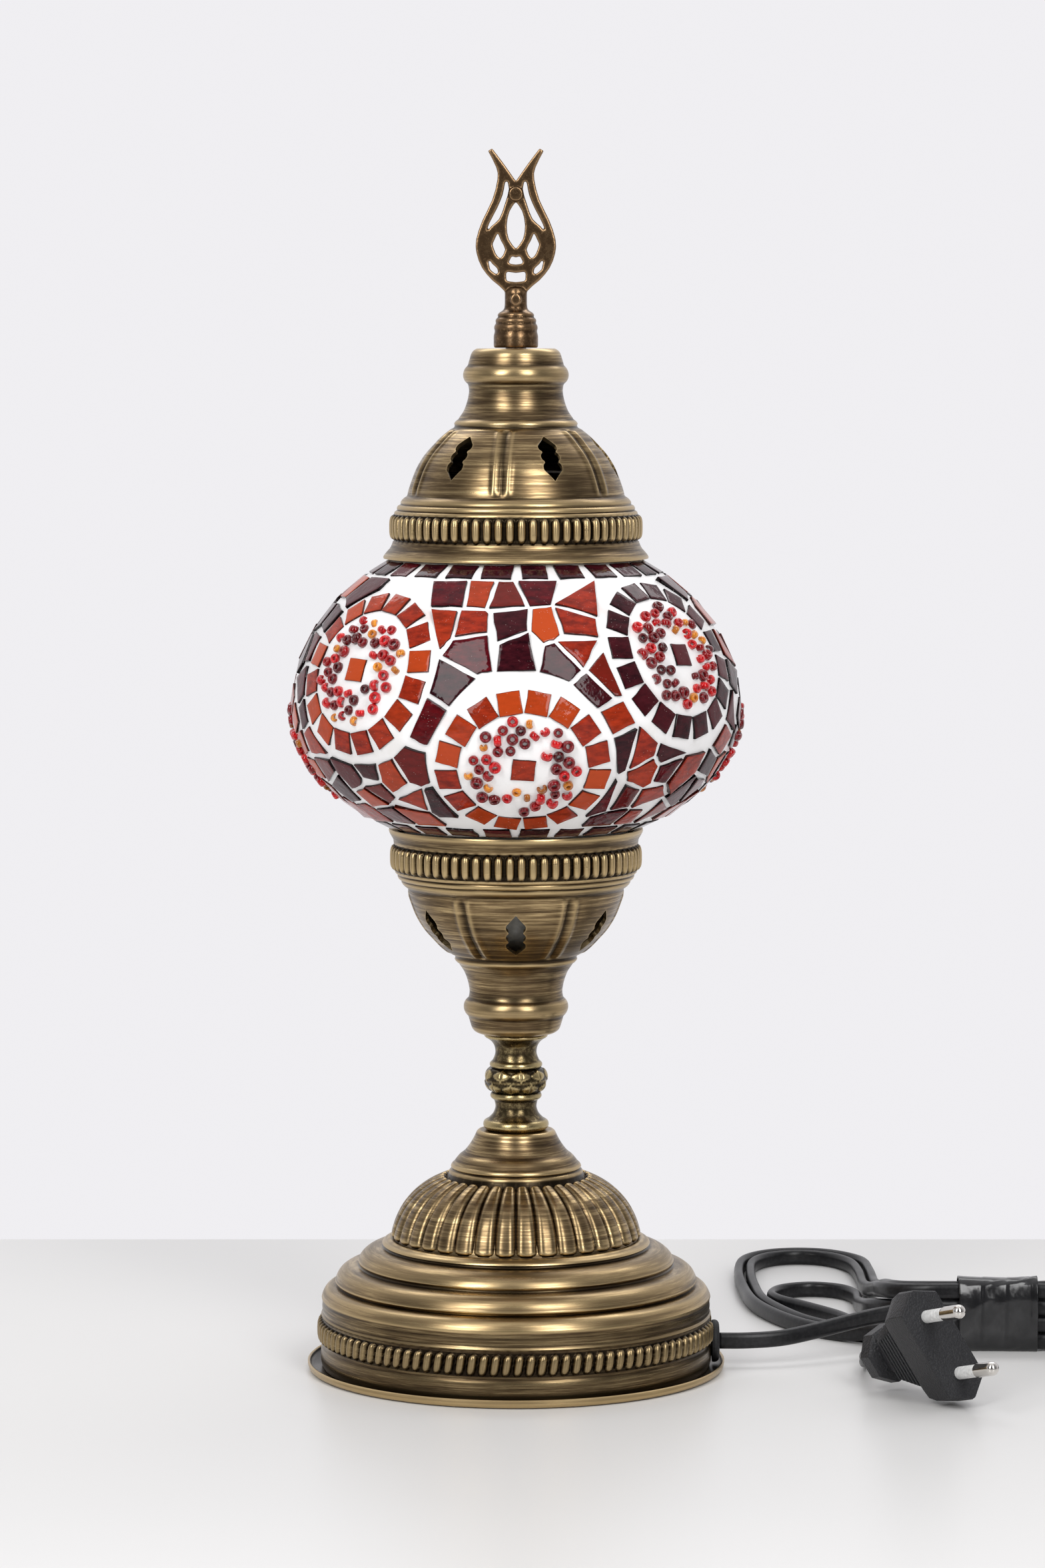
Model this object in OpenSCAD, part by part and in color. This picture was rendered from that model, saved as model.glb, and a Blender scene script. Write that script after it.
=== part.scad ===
// Mosaic glass table lamp: a stamped brass base, stem, cup and cap around a globe of glass mosaic,
// with an E14 lampholder and bulb inside, and a flat twin lead with an inline switch and a two-pin plug.
// Millimetres, +Z up. The origin is on the table, under the middle of the base. The front faces -Y.

/* [Base] */
// Outside radius of the pan under the base
pan_r = 60.9; // [60:0.1:64]
// Height of the base shell's top above the table
base_h = 70; // [68:0.5:74]
// Beads around the skirt
skirt_beads = 107; // [60:1:110]
// Thickness of the spun and stamped sheet
sheet = 0.8; // [0.6:0.1:1]

/* [Stem, cup and cap] */
// Height of the stem between the base and the cup
stem_h = 28.4; // [26:0.2:32]
// Beads around the cup and around the cap
dish_beads = 68; // [40:1:70]
// Pierced vents around the cup and around the cap
vents = 6; // [4:1:8]

/* [Globe and mosaic] */
// Radius of the finished globe at its widest
globe_r = 65; // [62:0.5:68]
// Height from the widest line to where the upper half would close
globe_up = 52; // [48:0.5:56]
// Depth from the widest line to where the lower half would close
globe_down = 41.3; // [39:0.1:43]
// Thickness of the blown glass
glass_t = 2.2; // [1.6:0.1:3]
// Radius of the glass necks that stand in the cup and in the cap
neck_r = 32.6; // [31:0.1:33]
// Side of the square tiles in a medallion
tile = 6.6; // [5:0.1:7]
// Radius of a medallion's ring of square tiles
ring_r = 22.6; // [20:0.1:23]
// Square tiles in a medallion's ring
ring_tiles = 16; // [12:1:16]
// Seed for the hand-laid unevenness of the mosaic
seed = 7; // [1:1:99]

/* [Lampholder and bulb] */
// Radius of the ball of the bulb
bulb_r = 22.5; // [20:0.5:23]
// Pitch of the E14 thread
thread_pitch = 2.822; // [2.8:0.001:2.85]

/* [Finial] */
// Thickness of the flat cast tulip
tulip_t = 3; // [2:0.1:4]

/* [Cord, plug and switch] */
// Height of the flat twin cord's section, which stands on edge
cord_h = 4.8; // [4.4:0.1:5]
// Width of the flat twin cord's section
cord_w = 3.2; // [3:0.1:3.3]
// Distance between the plug's pins
pin_gap = 18.6; // [17.5:0.1:19]
// Length of the inline switch
switch_l = 59; // [56:1:62]

/* [Hidden] */
$fn = 72;

// Heights of the stack, from the table up
dish_h = 59.8;
stem_top = base_h + stem_h;
cup_floor = stem_top + 0.2;
cup_rim = cup_floor + dish_h;
globe_mid = cup_rim + 34.6;
cap_rim = globe_mid + 44;
cap_top = cap_rim + dish_h;
finial_z = cap_top + 0.1;
holder_z = 122;
bulb_z = 146.4;

left = [-1, 0, 0];
right = [1, 0, 0];
up = [0, 0, 1];

// Radii that fit together
tube_r = 4.9;
tube_bore = 3.8;
tube_hole = 5.05;
shell_bore = 7;
cap_thread_r = 6.92;
stud_r = 3;

// Where the cord goes through the skirt, and the foot of the slot where it enters the tube
gland_z = 7.5;
slot_z = 22;
gland_x = 59.4;
gland_hole = 4.4;

brass = [0.45, 0.37, 0.2];
dark_brass = [0.27, 0.22, 0.15];
copper_brown = [0.42, 0.27, 0.15];
steel = [0.68, 0.68, 0.7];
black = [0.06, 0.06, 0.065];
maroon = [0.22, 0.06, 0.07];
brick = [0.62, 0.16, 0.08];
wine = [0.36, 0.04, 0.06];
amber = [0.8, 0.42, 0.06];
white = [0.93, 0.92, 0.9];

// ---------------------------------------------------------------- helpers

// A solid of revolution from an outline of [radius, height] points
module spun(points) rotate_extrude() polygon(points);

// The points of an arc about c from angle a0 to a1
function arc(c, r, a0, a1, n = 6) = [for (i = [0 : n]) let (a = a0 + (a1 - a0) * i / n) c + r * [cos(a), sin(a)]];

// A smooth line through the points p: n steps in each span
function span_point(a, b, c, d, u) =
    0.5 * (2 * b + (c - a) * u + (2 * a - 5 * b + 4 * c - d) * u * u + (3 * b - a - 3 * c + d) * u * u * u);
function smooth(p, n = 3) = [
    for (i = [0 : len(p) - 2], k = [0 : n - 1])
        span_point(p[max(i - 1, 0)], p[i], p[i + 1], p[min(i + 2, len(p) - 1)], k / n),
    p[len(p) - 1]
];
function mirrored(p) = [for (i = [len(p) - 1 : -1 : 0]) [-p[i].x, p[i].y]];
function unit(v) = v / norm(v);

// A strip of thickness t bent along an outline
module strip(p, t) {
    n = len(p) - 1;
    inner = [for (i = [n : -1 : 0]) let (d = unit(p[min(i + 1, n)] - p[max(i - 1, 0)])) p[i] + t * [d.y, -d.x]];
    polygon(concat(p, inner));
}

// A ring with a round hole
module ring(r, bore, h) {
    difference() {
        cylinder(r = r, h = h);
        translate([0, 0, -1]) cylinder(r = bore, h = h + 2);
    }
}

// A hexagonal nut on the threaded tube or stud
module nut(across, bore, h) {
    difference() {
        cylinder(r = across / sqrt(3), h = h, $fn = 6);
        translate([0, 0, -1]) cylinder(r = bore, h = h + 2);
    }
}

// One upright bead of a stamped bead band
module bead(r, h) spun([[0, -h / 2], [r * 0.6, -h / 2 + r * 0.4], [r, -h / 2 + r], [r, h / 2 - r],
    [r * 0.6, h / 2 - r * 0.4], [0, h / 2]]);

module bead_band(count, at_r, z, r, h) {
    for (i = [0 : count - 1])
        rotate([0, 0, (i + 0.5) * 360 / count]) translate([at_r, 0, z]) bead(r, h);
}

// ---------------------------------------------------------------- base

// Outside of the base shell from the foot up: skirt, three rounded steps, dome, double ring and shoulder
base_outline = concat(
    [[0, 0.9], [56.4, 0.9], [57, 2.5], [57, 6.6], [56.7, 7.4], [56.7, 15.6], [56.6, 20.6]],
    arc([55.7, 21.3], 1, -30, 60, 2),
    arc([51.2, 20.4], 4.3, 40, 88, 3),
    [[51.6, 24.9], [51.9, 25.6]],
    arc([47.3, 25.2], 5.2, 12, 90, 4),
    [[45.6, 30.4], [45.6, 31.2]],
    arc([40.6, 30.8], 5.4, 10, 88, 4),
    [[38.6, 36.2], [39, 36.7], [38.6, 37.4]],
    smooth([[36.9, 38.2], [35.1, 43.8], [30.6, 50.8], [24.4, 55.4], [19.2, 57.2]], 3),
    [[19.3, 58.2], [18.6, 58.8], [18.9, 59.6], [18.3, 60.4]],
    smooth([[17.4, 61.6], [13.6, 65.2], [11.6, base_h - 1.2]], 2),
    [[11, base_h], [0, base_h]]
);
base_inside = [[0, 0], [55.6, 0], [55.8, 20.5], [54.4, 22.6], [50.2, 24], [49.8, 27], [44.4, 29.4],
    [43.6, 33], [36.8, 35.6], [35.2, 40], [33, 45.2], [29.4, 50.2], [23.4, 54.2], [17.6, 56.6],
    [17.2, 59.6], [12.6, 64], [10.4, base_h - sheet - 0.8], [9.8, base_h - sheet], [0, base_h - sheet]];

module base_shell() color(brass) {
    difference() {
        union() {
            spun(base_outline);
            difference() {
                bead_band(skirt_beads, 56.9, 11.5, 1.35, 7.2);
                translate([55, 0, gland_z]) rotate([0, 90, 0]) cylinder(r = 6.4, h = 6);
            }
        }
        spun(base_inside);
        translate([0, 0, base_h - 5]) cylinder(r = tube_hole, h = 10);
        translate([50, 0, gland_z]) rotate([0, 90, 0]) cylinder(r = gland_hole, h = 10);
    }
}

// Tray under the base, with an upturned rim and a raised middle that leaves room for the nut
module base_pan() color(brass) {
    difference() {
        spun(concat(
            [[19, 0], [58.6, 0]],
            arc([pan_r - 1.6, 1.6], 1.6, -90, 0, 4),
            [[pan_r, 2.6], [pan_r - sheet, 2.6], [pan_r - sheet, 1.6], [pan_r - 2.4, sheet], [19.6, sheet],
             [17.8, 8], [0, 8], [0, 7.2], [17.2, 7.2]]));
        cylinder(r = tube_hole, h = 10);
    }
}

module pan_washer() color(steel) translate([0, 0, 6]) ring(9, tube_hole, 1.2);
module pan_nut() color(steel) translate([0, 0, 2]) nut(14, tube_r, 4);

// All-thread tube that draws pan, base, stem and cup together; the cord enters through its slot
module threaded_tube() color(steel) {
    difference() {
        translate([0, 0, 1.4]) cylinder(r = tube_r, h = holder_z + 4.6);
        cylinder(r = tube_bore, h = 140);
        translate([0, -2.4, slot_z]) cube([8, 4.8, 11]);
    }
}

// Rubber bush: a domed head outside the skirt, a neck through the hole and a flange inside
module cord_gland() color(black) {
    translate([0, 0, gland_z]) rotate([0, 90, 0]) difference() {
        spun(concat(
            [[0, 52.6], [5.6, 52.6], [5.6, 54.7], [gland_hole, 54.7], [gland_hole, 57.3], [6.1, 57.3], [6.2, 58]],
            arc([4.8, 58], 1.4, 0, 90, 4),
            [[0, gland_x]]));
        translate([0, 0, 50]) cylinder(r = 2.4, h = 12);
    }
}

// The lead inside the lamp: in through the bush, up across the base and up the tube
module inner_cord() color(black) {
    swept([[gland_x, 0, gland_z], [50, 0, 7.5], [44, 0, 8], [36, 0, 11.4], [14, 0, 21.6], [7.5, 0, 25], [3.2, 0, 29],
        [0.8, 0, 33.6], [0, 0, 38], [0, 0, holder_z + 4]], left, up, [0, 1, 0]);
}

// ---------------------------------------------------------------- stem

stem_outline = concat(
    [[0, 0], [8.6, 0]],
    arc([7.6, 1.8], 1.8, -60, 80, 5),
    smooth([[7.4, 3.8], [6.6, 4.8], [6, 6.8], [6.2, 8.6]], 2),
    [[7.3, 9.4], [7.5, 10.1], [7.2, 10.9], [7.3, 11.4]],
    smooth([[8.3, 12.6], [8.8, 14], [8.9, 15.8], [8.4, 17.4]], 2),
    [[7.3, 18.2], [7.6, 19], [7.6, 19.8], [6.7, 20.4]],
    smooth([[6.2, 21.8], [6, 23], [6.4, 25], [7.6, 26.4]], 2),
    [[9, 27.4], [9.2, stem_h - 0.4], [8.8, stem_h], [0, stem_h]]
);

module stem() color(dark_brass) {
    translate([0, 0, base_h]) difference() {
        spun(stem_outline);
        translate([0, 0, -1]) cylinder(r = tube_hole, h = stem_h + 2);
    }
}

// ---------------------------------------------------------------- cup and cap

// Outside of the dish, from its rim (height 0) to its closed end, without the lip
dish_outline = concat(
    [[36, 2.6], [35.6, 3.6], [35.3, 4.6], [35.2, 12.2], [34.8, 13], [34.3, 13.4], [33.9, 14.6], [33.2, 15],
     [32.6, 16.4], [31.4, 17.4]],
    smooth([[31.1, 18.6], [29.8, 22.6], [27.4, 27.6], [23.8, 32.1], [18.9, 36.6]], 3),
    [[17.6, 37.4], [17.4, 38.6], [16.5, 39.6]],
    smooth([[15.8, 40.6], [14.1, 44], [13.5, 47.6], [14, 49.8]], 2),
    arc([13.3, 52.4], 1.9, -50, 70, 4),
    [[13.9, 54.9], [13.6, 56.4], [12.7, 57]],
    arc([11.6, dish_h - 1.6], 1.5, 10, 90, 3),
    [[0, dish_h - 0.1]]
);
dish_inside = [[0, -3], [34.4, -3], [34.4, 12], [32.6, 14], [30.4, 17.2], [28.8, 22.4], [26.4, 27.2],
    [22.8, 31.6], [16.4, 36.8], [14.8, 40], [12.6, 44], [12.2, 50], [12.6, 52.6], [11.6, 56],
    [11, dish_h - 1 - sheet], [0, dish_h - 1 - sheet]];

// A pointed vent with three scallops on each side
module vent_outline() {
    for (side = [-1, 1], y = [-3.5, 0, 3.5])
        translate([side * 1.3, y]) circle(r = 1.9, $fn = 24);
    polygon([[0, 7.6], [-2, 4], [-2, -4], [0, -7.6], [2, -4], [2, 4]]);
}

// One stamped dish: beaded band, ribbed and pierced shoulder, and a waisted collar
module dish(lip, turn) {
    difference() {
        union() {
            spun(concat([[0, lip[0].y]], lip, dish_outline));
            bead_band(dish_beads, 35.1, 8.5, 1.35, 7);
            intersection() {
                spun([[0, 19], [31.6, 19], [30.4, 22.8], [28, 27.9], [24.2, 32.6], [20.5, 36], [0, 36]]);
                for (i = [0 : vents - 1])
                    rotate([0, 0, turn + (i + 0.5) * 360 / vents]) translate([0, -1.2, 10]) cube([40, 2.4, 40]);
            }
        }
        spun(dish_inside);
        for (i = [0 : vents - 1])
            rotate([0, 0, turn + i * 360 / vents]) translate([18, 0, 22.4]) rotate([0, 50, 0])
                rotate([0, 0, 90]) linear_extrude(20) vent_outline();
        translate([0, 0, dish_h - 4]) cylinder(r = stud_r + 0.15, h = 8);
    }
}

module lower_cup() color(brass) {
    lip = [[36.4, 0], [36.8, 0.3], [36.6, 1.2]];
    translate([0, 0, cup_rim]) mirror([0, 0, 1]) difference() {
        dish(lip, -90);
        translate([0, 0, dish_h - 4]) cylinder(r = tube_hole, h = 8);
    }
}

module cap_shell() color(brass) {
    lip = [[37.4, -0.6], [38.3, -0.3], [38, 0.4], [36.8, 1.6]];
    translate([0, 0, cap_rim]) dish(lip, -90 + 22);
}

module cup_washer() color(steel) translate([0, 0, cup_floor + 2]) ring(9, tube_hole, 1.2);
module cup_nut() color(steel) translate([0, 0, cup_floor + 3.2]) nut(14, tube_r, 4);

// Stud that holds the finial, the cap and the spring clip in one line
clip_z = cap_rim + 24;
module cap_stud() color(steel) translate([0, 0, clip_z - 5]) cylinder(r = stud_r, h = finial_z + 8 - clip_z + 5);

module cap_nuts() color(steel) {
    translate([0, 0, cap_top - 1 - sheet - 4.1]) nut(10, stud_r, 4);
    translate([0, 0, clip_z - 4.1]) nut(10, stud_r, 4);
}

// Spring clip: three sprung arms reach down into the glass neck and keep the cap in place
arm_line = smooth([[6, 0.4], [13, 0.4], [19.5, -3], [25, -9.5], [28.4, -17], [29.4, -24], [28.4, -30]], 2);
module cap_clip() color(steel) {
    translate([0, 0, clip_z]) difference() {
        union() {
            cylinder(r = 8, h = sheet);
            for (i = [0 : 2])
                rotate([0, 0, 30 + i * 120]) translate([0, 3.5, 0]) rotate([90, 0, 0]) linear_extrude(7)
                    strip(arm_line, 0.6);
        }
        translate([0, 0, -2]) cylinder(r = stud_r + 0.1, h = 5);
    }
}

// ---------------------------------------------------------------- finial

tulip_side = smooth([[3, 12.4], [3.1, 16], [6.8, 19.3], [9.7, 22.8], [11.3, 27], [11.4, 31], [9.6, 36.4], [6.8, 42.2],
    [5.3, 48], [5.6, 51.4], [8, 56.2]], 2);
tulip_notch = smooth([[6.8, 56.9], [3.5, 52.6], [0, 47.6]], 2);
tulip_holes = [
    [[-1.2, 26.2], [-2.2, 24.1], [0, 23.8], [2.2, 24.1], [1.2, 26.2], [0, 25.8]],
    [[-2.8, 21.8], [-2.7, 19.1], [0, 18.8], [2.7, 19.1], [2.8, 21.8], [0, 21.4]]
];
tulip_side_holes = [
    smooth([[2.8, 48.4], [2, 45.4], [3.2, 41], [4.8, 36.8], [7.2, 34.6], [8.7, 32.4], [7.6, 35.6], [5.4, 39.8],
        [3.8, 43.6], [3.2, 46.6]], 2),
    smooth([[5.2, 32.9], [4.3, 30.6], [3.1, 28.1], [4.4, 25.6], [5.8, 27], [6.7, 29.6]], 2),
    smooth([[8.2, 26.2], [6.8, 24], [5.3, 22.6], [5.4, 20.9], [7.4, 22.4]], 2)
];

module finial() color(copper_brown) {
    translate([0, 0, finial_z]) {
        difference() {
            spun(concat(
                [[0, 0], [6.2, 0], [6.4, 0.6], [6.4, 3.4], [6.05, 4.8], [6.3, 5.6], [6.2, 6.4], [5.7, 7], [5.95, 7.7],
                 [5.7, 8.3], [5.1, 8.7], [5.3, 9.4], [4.9, 10]],
                smooth([[3.9, 10.6], [3.3, 11.4], [3.2, 13.6]], 2),
                [[3.2, 16], [2.7, 17], [1.6, 17.5], [0, 17.5]]));
            translate([0, 0, -1]) cylinder(r = stud_r, h = 9.2);
        }
        difference() {
            translate([0, tulip_t / 2, 0]) rotate([90, 0, 0]) linear_extrude(tulip_t) difference() {
                polygon(concat(tulip_side, tulip_notch, mirrored(tulip_notch), mirrored(tulip_side)));
                for (p = tulip_holes) polygon(p);
                for (p = tulip_side_holes) polygon(p);
                for (p = tulip_side_holes) polygon(mirrored(p));
                polygon(concat(smooth([[0, 28.3], [2, 31], [2.6, 35], [1.8, 39], [0, 41.7]], 2),
                    smooth([[0, 41.7], [-1.8, 39], [-2.6, 35], [-2, 31], [0, 28.3]], 2)));
            }
            translate([0, 0, 6]) cylinder(r = 2.9, h = 7);
        }
        translate([0, 2.1, 43.9]) rotate([90, 0, 0]) cylinder(r = 2, h = 4.2);
        translate([0, 3.6, 13.8]) rotate([90, 0, 0]) cylinder(r = 1.6, h = 7.2);
    }
}

// ---------------------------------------------------------------- lampholder

module holder_base() color(white) {
    translate([0, 0, holder_z]) difference() {
        spun(concat([[0, -4], [7.4, -4], [7.6, 0]], smooth([[9, 0.4], [12.6, 3], [13.9, 8]], 3),
            [[13.9, 16], [12.1, 16], [12.1, 8.4], [8, 5], [0, 5]]));
        translate([0, 0, -6]) cylinder(r = tube_r, h = 20);
    }
}

module holder_body() color(white) {
    translate([0, 0, holder_z + 16.1]) difference() {
        spun([[0, 0], [13.9, 0], [13.9, 5], [13.2, 6], [12.6, 28], [12.2, 29], [0, 29]]);
        translate([0, 0, -1]) cylinder(r = 10.6, h = 9);
        cylinder(r = 8.2, h = 40);
    }
}

module holder_insert() color(white) {
    translate([0, 0, holder_z + 16.6]) difference() {
        cylinder(r = 10.4, h = 5.4);
        for (side = [-1, 1]) translate([side * 6, 0, -1]) cylinder(r = 1.9, h = 8);
    }
}

module holder_screw_shell() color(brass) {
    translate([0, 0, holder_z + 22.2]) difference() {
        union() {
            cylinder(r = 7.7, h = 20.5);
            cylinder(r = 8.1, h = 1);
        }
        translate([0, 0, 1]) cylinder(r = shell_bore, h = 30);
        translate([0, 0, -1]) cylinder(r = 4.6, h = 3);
    }
}

// Sprung centre contact under the bulb's tip
module holder_contact() color(brass) {
    translate([-3.4, -1.8, holder_z + 22.02]) cube([6.8, 3.6, 0.4]);
    translate([2, -1.8, holder_z + 22.42]) cube([0.8, 3.6, 1.3]);
    translate([-2, -1.8, holder_z + 23.7]) cube([4.8, 3.6, 0.4]);
}

module holder_terminals() color(steel) {
    for (side = [-1, 1]) translate([side * 6, 0, holder_z + 16.58]) {
        cylinder(r = 1.8, h = 5);
        translate([0, 0, -1.4]) cylinder(r = 2.6, h = 1.4);
    }
}

// The two cores from the end of the lead to the terminal screws
module core_wires() {
    for (side = [-1, 1]) color(side < 0 ? [0.1, 0.2, 0.6] : [0.35, 0.18, 0.08])
        translate([side * 1.1, 0, holder_z + 4.4]) rotate([0, side * 22.5, 0]) cylinder(r = 0.9, h = 11.1);
}

// ---------------------------------------------------------------- bulb

bulb_mid = bulb_z + 56;
bulb_neck = bulb_z + 25.4;
function bulb_line(r, foot) = concat(
    [[foot, 0.2], [foot, 1.4]],
    smooth([[foot + 0.6, 3.6], [foot + 4.2, 9.4]], 2),
    arc([0, bulb_mid - bulb_neck], r, -56, 90, 14));

module bulb_glass() color([1, 1, 1, 0.4]) {
    inner = bulb_line(bulb_r - 0.8, 7.6);
    translate([0, 0, bulb_neck]) spun(concat(bulb_line(bulb_r, 8.4), [for (i = [len(inner) - 1 : -1 : 0]) inner[i]]));
}

// Screw cap with the E14 thread's rounded ridges
module bulb_cap() color(steel) {
    turns = 6;
    ridges = [for (i = [0 : turns - 1]) each [
        [cap_thread_r - 0.6, 3.4 + i * thread_pitch], [cap_thread_r, 4.2 + i * thread_pitch],
        [cap_thread_r, 5 + i * thread_pitch]]];
    top = 3.4 + turns * thread_pitch;
    translate([0, 0, bulb_z]) spun(concat(
        [[0, 3.2], [5.6, 3.2]], ridges,
        [[cap_thread_r - 0.5, top], [8.6, top + 3.2], [8.6, 25.4], [7.4, 25.4], [7.2, 23], [5.6, 20], [0, 20]]));
}

module bulb_insulator() color(black) translate([0, 0, bulb_z]) spun([[0, 1.2], [2.6, 1.2], [5.2, 3.1], [0, 3.1]]);
module bulb_contact() color(steel) translate([0, 0, bulb_z]) spun([[0, 0], [1.4, 0.1], [2.2, 0.6], [2.4, 1.1], [0, 1.1]]);

// Glass pip and the two lead-in wires that hold the filaments
module bulb_mount() color([0.9, 0.95, 1, 0.5]) translate([0, 0, bulb_neck - 5.2])
    spun([[0, 0], [5, 0], [5, 2], [3, 5], [2, 12], [2.4, 20], [0, 22]]);

module bulb_filaments() color([1, 0.8, 0.3]) {
    for (i = [0 : 3]) rotate([0, 0, i * 90 + 45])
        translate([3, 0, bulb_neck + 6]) rotate([0, 14, 0]) cylinder(r = 0.8, h = 26);
}

// ---------------------------------------------------------------- globe

// Half outline of an egg of the globe's form, shrunk by d, between the two neck radii
function globe_line(d, top_r, foot_r) = let (
    a = globe_r - d,
    t1 = acos(top_r / a),
    t0 = -acos(foot_r / a)
) [for (i = [0 : 24]) let (t = t0 + (t1 - t0) * i / 24) [a * cos(t), ((t > 0 ? globe_up : globe_down) - d) * sin(t)]];

glass_d = 2.5;
module globe_glass() color([0.9, 0.9, 0.92, 0.5]) {
    outer = globe_line(glass_d, neck_r, neck_r);
    inner = globe_line(glass_d + glass_t, neck_r - glass_t, neck_r - glass_t);
    foot = cup_rim - globe_mid - 5.6;
    head = cap_rim - globe_mid + 6;
    translate([0, 0, globe_mid]) spun(concat(
        [[neck_r, foot]], outer, [[neck_r, head], [neck_r - glass_t, head]],
        [for (i = [len(inner) - 1 : -1 : 0]) inner[i]], [[neck_r - glass_t, foot]]));
}

// Plaster grout that beds the tiles
grout_d = 1.7;
module grout_bed() color(white) {
    outer = globe_line(grout_d, 34, 34.6);
    inner = globe_line(glass_d - 0.09, 34, 34.6);
    translate([0, 0, globe_mid]) spun(concat(outer, [for (i = [len(inner) - 1 : -1 : 0]) inner[i]]));
}

// ---------------------------------------------------------------- mosaic layout

centre = [0, 0, globe_mid];
tile_t = 1.6;
gap = 1.2;

function drop(z) = z > globe_mid ? globe_up : globe_down;
// The point of the finished surface on the ray from the centre through q
function on_globe(q) = let (
    d = q - centre,
    k = 1 / norm([d.x / globe_r, d.y / globe_r, d.z / drop(q.z)])
) centre + k * d;
function at(turn, t) = [globe_r * cos(t) * cos(turn), globe_r * cos(t) * sin(turn),
    globe_mid + (t > 0 ? globe_up : globe_down) * sin(t)];
function turn_of(p) = atan2(p.y, p.x);
function tilt_of(p) = atan2(norm([p.x, p.y]) / pow(globe_r, 2), (p.z - globe_mid) / pow(drop(p.z), 2));
function south(p) = let (a = turn_of(p), b = tilt_of(p)) [cos(b) * cos(a), cos(b) * sin(a), -sin(b)];
function east(p) = [-sin(turn_of(p)), cos(turn_of(p)), 0];
// q in the tangent plane at p, as [south, east]
function local(q, p) = [(q - p) * south(p), (q - p) * east(p)];

module on_surface(p, spin = 0) {
    translate(p) rotate([0, tilt_of(p), turn_of(p)]) rotate([0, 0, spin]) children();
}

// Medallions: [angle from the front, height of the middle, 1 where the tiles are maroon]
medallions = [[2, 180, 0], [50, 211, 1], [98, 181, 1], [140, 210, 0], [182, 180, 0], [224, 211, 1], [267, 180, 0],
    [314, 207, 0]];
function middle(m) = let (dz = m[1] - globe_mid) at(m[0] - 90, asin(dz / drop(m[1])));
middles = [for (m = medallions) middle(m)];
function around(c, r, a) = on_globe(c + r * cos(a) * south(c) + r * sin(a) * east(c));

module square_tile(p, spin) on_surface(p, spin) translate([-tile / 2, -tile / 2, -tile_t]) cube([tile, tile, tile_t]);

module medallion_tiles(dark) {
    wobble = rands(-3, 3, len(medallions) * ring_tiles, seed);
    for (k = [0 : len(medallions) - 1]) if (medallions[k][2] == dark) {
        c = middles[k];
        square_tile(c, wobble[k] * 3);
        for (i = [0 : ring_tiles - 1]) {
            p = around(c, ring_r, 180 + (i + 0.5) * 360 / ring_tiles);
            to_middle = local(c, p);
            square_tile(p, atan2(to_middle.y, to_middle.x) + wobble[k * ring_tiles + i]);
        }
    }
}

module orange_tiles() color(brick) medallion_tiles(0);
module maroon_tiles() color(maroon) medallion_tiles(1);

// Rows of oblong tiles along the edges of the cap and of the cup
rim_count = 24;
module rim_tiles() color(maroon) {
    grow = rands(-0.9, 0.9, rim_count * 2, seed + 1);
    for (row = [[52.6, 6.4, 0], [-52.6, 5.6, rim_count]], i = [0 : rim_count - 1]) {
        p = at((i + 0.5) * 360 / rim_count, row[0]);
        w = 8.1 + grow[i + row[2]];
        on_surface(p) translate([-row[1] / 2, -w / 2, -tile_t]) cube([row[1], w, tile_t]);
    }
}

// Shards: sites in staggered rows between the rim tiles, shifted by hand, clear of the medallions
shard = 9.4;
field_top = 48.6;
field_foot = -48.4;
rows = 9;
jitter = rands(-1, 1, 800, seed + 2);
medallion_r = ring_r + tile / 2 + 0.7;
sites = [for (j = [0 : rows - 1]) let (
        t = field_foot + (field_top - field_foot) * (j + 0.5) / rows,
        n = round(2 * PI * globe_r * cos(t) / shard)
    ) for (i = [0 : n - 1]) let (
        k = (j * 47 + i) * 2 % 798,
        p = at((i + (j % 2) / 2 + jitter[k] * 0.34) * 360 / n, t + jitter[k + 1] * 2.6),
        near = min([for (c = middles) norm(p - c)])
    ) if (near > medallion_r + 1.5) p];

// The part of polygon p on the inner side of the line n * x = o
function clip(p, n, o) = [for (i = [0 : len(p) - 1]) let (
        a = p[i],
        b = p[(i + 1) % len(p)],
        u = n * a - o,
        v = n * b - o,
        cut = u == v ? a : a + (b - a) * u / (u - v)
    ) each (u <= 0 ? (v <= 0 ? [b] : [cut]) : (v <= 0 ? [cut, b] : []))];
function clip_all(p, lines, i = 0) = i == len(lines) || len(p) < 3 ? p : clip_all(clip(p, lines[i][0], lines[i][1]), lines, i + 1);

// The polygon without the corners that hold least of it, until n are left
function corner_area(p, i) = let (
        a = p[(i + len(p) - 1) % len(p)] - p[i],
        b = p[(i + 1) % len(p)] - p[i]
    ) abs(a.x * b.y - a.y * b.x);
function without(p, i) = [for (k = [0 : len(p) - 1]) if (k != i) p[k]];
function cut_to(p, n) = len(p) <= n ? p : let (
        areas = [for (i = [0 : len(p) - 1]) corner_area(p, i)],
        least = min(areas)
    ) cut_to(without(p, search(least, areas)[0]), n);

// Lines that bound a shard: half way to each neighbour, short of each medallion and of the rim tiles
function bounds(p) = concat(
    [for (q = sites) let (l = local(q, p), d = norm(l)) if (norm(q - p) < 24 && d > 0.1) [l / d, d / 2 - gap / 2]],
    [for (c = middles) let (l = local(c, p), d = norm(c - p)) if (d < 45)
        [l / norm(l), (d * d - pow(medallion_r, 2)) / (2 * d)]],
    [for (t = [field_top, field_foot]) let (q = at(turn_of(p), t), l = local(q, p)) if (norm(q - p) < 16)
        [l / norm(l), norm(q - p) - gap / 2]]
);
blank = [[-8, -8], [8, -8], [8, 8], [-8, 8]];
corner_count = rands(0, 1, 400, seed + 3);
shard_kind = rands(0, 1, 400, seed + 4);

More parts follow.
